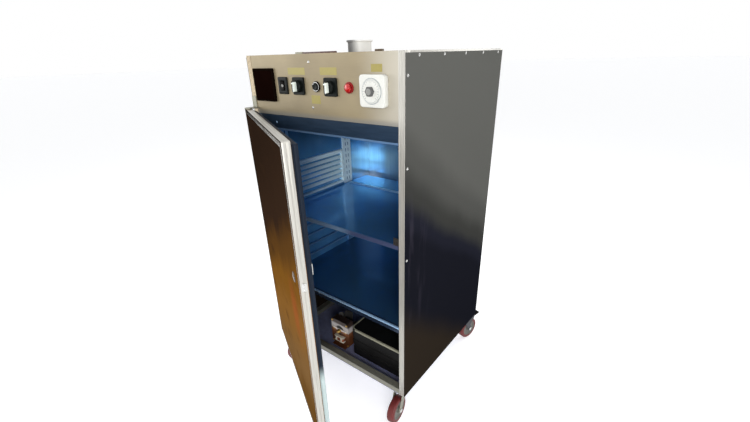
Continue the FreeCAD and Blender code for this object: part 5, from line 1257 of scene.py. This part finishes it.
# ---------------------------------------------------------------- machine bay
class INCUBATOR_OT_bay(Builder):
    """Blower and humidifier tank in the machine bay"""
    bl_idname = "incubator.bay"
    bl_label = "Machine bay"

    def build(self, sizes):
        low, high = corners("blower_coil")
        x, y = middle("blower_coil")[:2]
        wide, deep = high[0] - low[0], high[1] - low[1]
        bottom, top = low[2] + 0.0030, high[2] - 0.0030
        count = max(3, round((top - bottom) / sizes.winding_pitch))
        t = np.linspace(0, 1, count * 5 + 1)
        inset = 0.0016 - 0.0007 * abs(np.sin(t * count * math.pi))
        winding = layers(rectangle(wide, deep, 0.0105, (x, y), 6), "z", inset, bottom + t * (top - bottom))
        piece("coil_winding", [winding], "copper_wire", "cabinet", ("blower_coil",))
        ends = [plate(wide + 0.003, deep - 0.0004, (x, y), "z", a, b, 0.004, 0.0006)
                for a, b in ((low[2], bottom), (top, high[2]))]
        ends += [plate(0.006, 0.0035, (x + dx, low[1] + 0.0012), "z", bottom, top + 0.004, 0.0008)
                 for dx in (-0.012, 0.012)]
        piece("coil_bobbin", ends, "bobbin_white", "cabinet")

        z, screws = BLOWER_Z, []
        for dx, dz in ((-0.0385, 0.0385), (0.0385, 0.0385), (-0.0385, -0.0640), (0.0385, -0.0640)):
            screws.append(lathe([(0.0004, -0.2306), (0.0042, -0.2304), (0.0046, -0.2296), (0.0046, -0.2268)], "y",
                                (x + dx, 0, z + dz), 6))
        for dx in (-0.030, 0.030):
            screws.append(aimed(dome_screw(0.0040, 0.0022, dx * 40), "-y", (x + dx, -0.2299, z)))
        cup = lathe([(0.0035, -0.2405), (0.0052, -0.2408), (0.0066, -0.2398), (0.0080, -0.2372),
                     (0.0082, -0.2296)], "y", (x, 0, z), 32)
        piece("motor_hardware", screws + [cup], "brass", "cabinet")
        shaft = lathe([(0.0026, -0.2347), (0.0029, -0.2343), (0.0029, -0.1465), (0.0024, -0.1460)], "y",
                      (x, 0, z), 20)
        rotor = lathe([(0.0060, -0.2256), (0.0212, -0.2256), (0.0214, -0.2250), (0.0214, -0.1968),
                       (0.0212, -0.1962), (0.0060, -0.1962)], "y", (x, 0, z), 48)
        hub = lathe([(0.0030, -0.1758), (0.0096, -0.1758), (0.0110, -0.1744), (0.0108, -0.1624),
                     (0.0090, -0.1622), (0.0030, -0.1622)], "y", (x, 0, z), 36)
        vane = blade(0.011, 0.0615, 0.020, 0.036, math.radians(26), 0.0014, 0.07)
        wheel = [shaft, rotor, hub] + repeated(moved(vane, (x, -0.169, z)), 5, (x, 0, z))
        piece("blower_wheel", wheel, "dark_steel", "blower", ("blower_fan",))

        low, high = corners("humidifier_tank")
        x, y = middle("humidifier_tank")[:2]
        over = 0.003
        wide, deep, floor, shoulder = high[0] - low[0], high[1] - low[1], low[2], 0.258
        body = rectangle(wide - 2 * over, deep - 2 * over, 0.012, (x, y), 6)
        t = np.linspace(0, 1, 5)
        inset = np.concatenate([0.004 * (1 - np.sin(t * 1.57)), [0.0, 0.0016, 0.0016, 0.0] * 2, [0.0]])
        level = np.concatenate([floor + 0.004 * (1 - np.cos(t * 1.57)),
                                [0.176, 0.178, 0.186, 0.188, 0.212, 0.214, 0.222, 0.224, shoulder]])
        lid_edge = np.array([0.0006, 0.0, 0.0, 0.0004, 0.0014, 0.0045, 0.0055, 0.020])
        lid_level = shoulder + np.array([0.0, 0.0008, 0.0060, 0.0078, 0.0088, 0.0090, 0.0078, 0.0078])
        lid = layers(rectangle(wide, deep, 0.024, (x, y), 8), "z", lid_edge, lid_level)
        spout = lathe([(0.0215, shoulder + 0.006), (0.0220, 0.2680), (0.0210, 0.2690), (0.0210, 0.2785),
                       (0.0220, 0.2792), (0.0216, 0.2806), (0.0150, 0.2810), (0.0006, 0.2810)], "z",
                      (x, y, 0.0), 48)
        piece("water_tank", [layers(body, "z", inset, level), lid, spout], "tank_plastic", "cabinet",
              ("humidifier_tank",))
        trim = soft_loop([(-0.0001, shoulder + 0.001), (-0.0001, shoulder + 0.0070), (0.0014, shoulder + 0.0092),
                          (0.0060, shoulder + 0.0092), (0.0060, shoulder + 0.0060),
                          (0.0020, shoulder + 0.001)], 0.0003, 3)
        rim = ring_frame(wide, deep, (x, y), "z", trim, 0.024)
        piece("tank_rim", [rim], "tank_trim", "cabinet")


# ---------------------------------------------------------------- casters
def at_caster(shape, name):
    """A caster piece made about its own swivel line, with its trail along +Y, put at its corner."""
    side, end, heading = CASTERS[name]
    shape = turned(shape, math.radians(heading - 90.0))
    return moved(shape, (side * CASTER_X, end * CASTER_Y, 0.0))


class INCUBATOR_OT_casters(Builder):
    """Tyres, hubs, forks and brake pedals of the four casters"""
    bl_idname = "incubator.casters"
    bl_label = "Casters"

    def build(self, sizes):
        centre = (0.0, 0.038, 0.050)
        soft = sizes.tyre_round
        shoulder = [(0.050 - soft + soft * math.cos(t), 0.014 - soft + soft * math.sin(t))
                    for t in np.linspace(0, math.pi / 2, 7)]
        half = shoulder + [(0.0372, 0.0140), (0.0360, 0.0128)]
        tyre = half + [(r, -x) for r, x in reversed(half)]
        inner = [(0.0052, 0.0139), (0.0118, 0.0139), (0.0126, 0.0096), (0.0170, 0.0088), (0.0310, 0.0088),
                 (0.0335, 0.0120), (0.0360, 0.0129)]
        hub = inner[::-1] + [(r, -x) for r, x in inner]
        x0, x1 = 0.016, 0.0185
        swing = np.radians(np.linspace(12, -192, 18))
        eye = [(0.038 + 0.011 * math.cos(t), 0.050 + 0.011 * math.sin(t)) for t in swing]
        side = soft_loop([(-0.019, 0.1268), (0.019, 0.1268)] + eye, [0.004, 0.004] + [0.0003] * 18)
        ear = soft_loop([(0.004, 0.1266), (0.0655, 0.1266), (0.0655, 0.1070), (0.0400, 0.0720)],
                        [0.002, 0.006, 0.006, 0.004])
        for name in CASTERS:
            braked = name.startswith("rear")
            piece("tyre_" + name, [at_caster(lathe(tyre, "x", centre, 64, wrap=True), name)], "tyre_rubber",
                  "wheel_" + name, ("caster_wheel_" + name,))
            piece("hub_" + name, [at_caster(lathe(hub, "x", centre, 48, wrap=True), name)], "hub_nylon",
                  "wheel_" + name)
            fork = []
            for a, b in ((x0, x1), (-x1, -x0)):
                fork.append(prism(side, "x", a, b, 0.0008))
                if braked:
                    fork.append(prism(ear, "x", a + 0.0001, b - 0.0001, 0.0006))
            fork.append(plate(2 * x1, 0.040, (0, 0), "z", 0.124, 0.127, 0.004, 0.0010))
            fork.append(lathe([(0.0190, 0.1262), (0.0205, 0.1275), (0.0238, 0.1290), (0.0240, 0.1302),
                               (0.0228, 0.1308), (0.0228, 0.1316), (0.0240, 0.1322), (0.0239, 0.1340),
                               (0.0225, 0.1347), (0.0060, 0.1347)], "z", (0, 0, 0), 48))
            metal = "black_steel" if braked else "zinc_steel"
            piece("fork_" + name, [at_caster(shape, name) for shape in fork], metal,
                  "fork_" + name, ("caster_fork_" + name,))
            reach = [(0.0046, 0.0150), (0.0078, 0.0186), (0.0080, 0.0196), (0.0076, 0.0212),
                     (0.0058, 0.0224), (0.0006, 0.0225)]
            bolts = [lathe([(r, sign * x) for r, x in reach], "x", centre, 32) for sign in (-1, 1)]
            pin = lathe([(0.0048, -0.0150), (0.0048, 0.0150)], "x", centre, 20)
            piece("axle_" + name, [at_caster(shape, name) for shape in bolts + [pin]], "bright_steel",
                  "fork_" + name)
            if braked:
                pad = soft_loop([(-0.0148, 0.056), (0.0148, 0.056), (0.0148, 0.078), (0.0125, 0.1078),
                                 (-0.0125, 0.1078), (-0.0148, 0.078)], [0.002, 0.002, 0.01, 0.004, 0.004, 0.01])
                pedal = [prism(pad, "z", 0.1052, 0.1098, 0.0012)]
                pedal.append(lathe([(0.0030, -0.0148), (0.0046, -0.0146), (0.0049, -0.0138), (0.0049, 0.0138),
                                    (0.0046, 0.0146), (0.0030, 0.0148)], "x", (0, 0.060, 0.112), 24))
                pedal += [plate(0.020, 0.0018, (0, 0.080 + 0.0055 * step), "z", 0.1092, 0.1106, 0.0006, 0.0004)
                          for step in range(5)]
                piece("pedal_" + name, [at_caster(shape, name) for shape in pedal], "black_plastic",
                      "brake_" + name, ("brake_pedal_" + name,))


# ---------------------------------------------------------------- panel and registration
STEPS = (INCUBATOR_OT_stage, INCUBATOR_OT_solids, INCUBATOR_OT_posts, INCUBATOR_OT_screws, INCUBATOR_OT_top,
         INCUBATOR_OT_door, INCUBATOR_OT_controls, INCUBATOR_OT_chamber, INCUBATOR_OT_bay, INCUBATOR_OT_casters)


class INCUBATOR_PT_sidebar(bpy.types.Panel):
    """Settings and operators in the 3D view's sidebar"""
    bl_label = "Egg incubator"
    bl_idname = "INCUBATOR_PT_sidebar"
    bl_space_type = "VIEW_3D"
    bl_region_type = "UI"
    bl_category = "Incubator"

    def draw(self, context):
        layout = self.layout
        for settings in (context.scene.incubator_colours, context.scene.incubator_sizes):
            column = layout.column()
            for name in settings.__annotations__:
                column.prop(settings, name)
        column = layout.column()
        for step in STEPS:
            column.operator(step.bl_idname)


CLASSES = (IncubatorColours, IncubatorSizes) + STEPS + (INCUBATOR_PT_sidebar,)


def register():
    """Make the classes and the two groups of settings known to Blender."""
    for cls in CLASSES:
        bpy.utils.register_class(cls)
    bpy.types.Scene.incubator_colours = bpy.props.PointerProperty(type=IncubatorColours)
    bpy.types.Scene.incubator_sizes = bpy.props.PointerProperty(type=IncubatorSizes)


def unregister():
    """Undo register()."""
    del bpy.types.Scene.incubator_sizes
    del bpy.types.Scene.incubator_colours
    for cls in reversed(CLASSES):
        bpy.utils.unregister_class(cls)


def main():
    """Run every operator in order."""
    register()
    for step in STEPS:
        group, name = step.bl_idname.split(".")
        getattr(getattr(bpy.ops, group), name)()


if __name__ == "__main__":
    main()
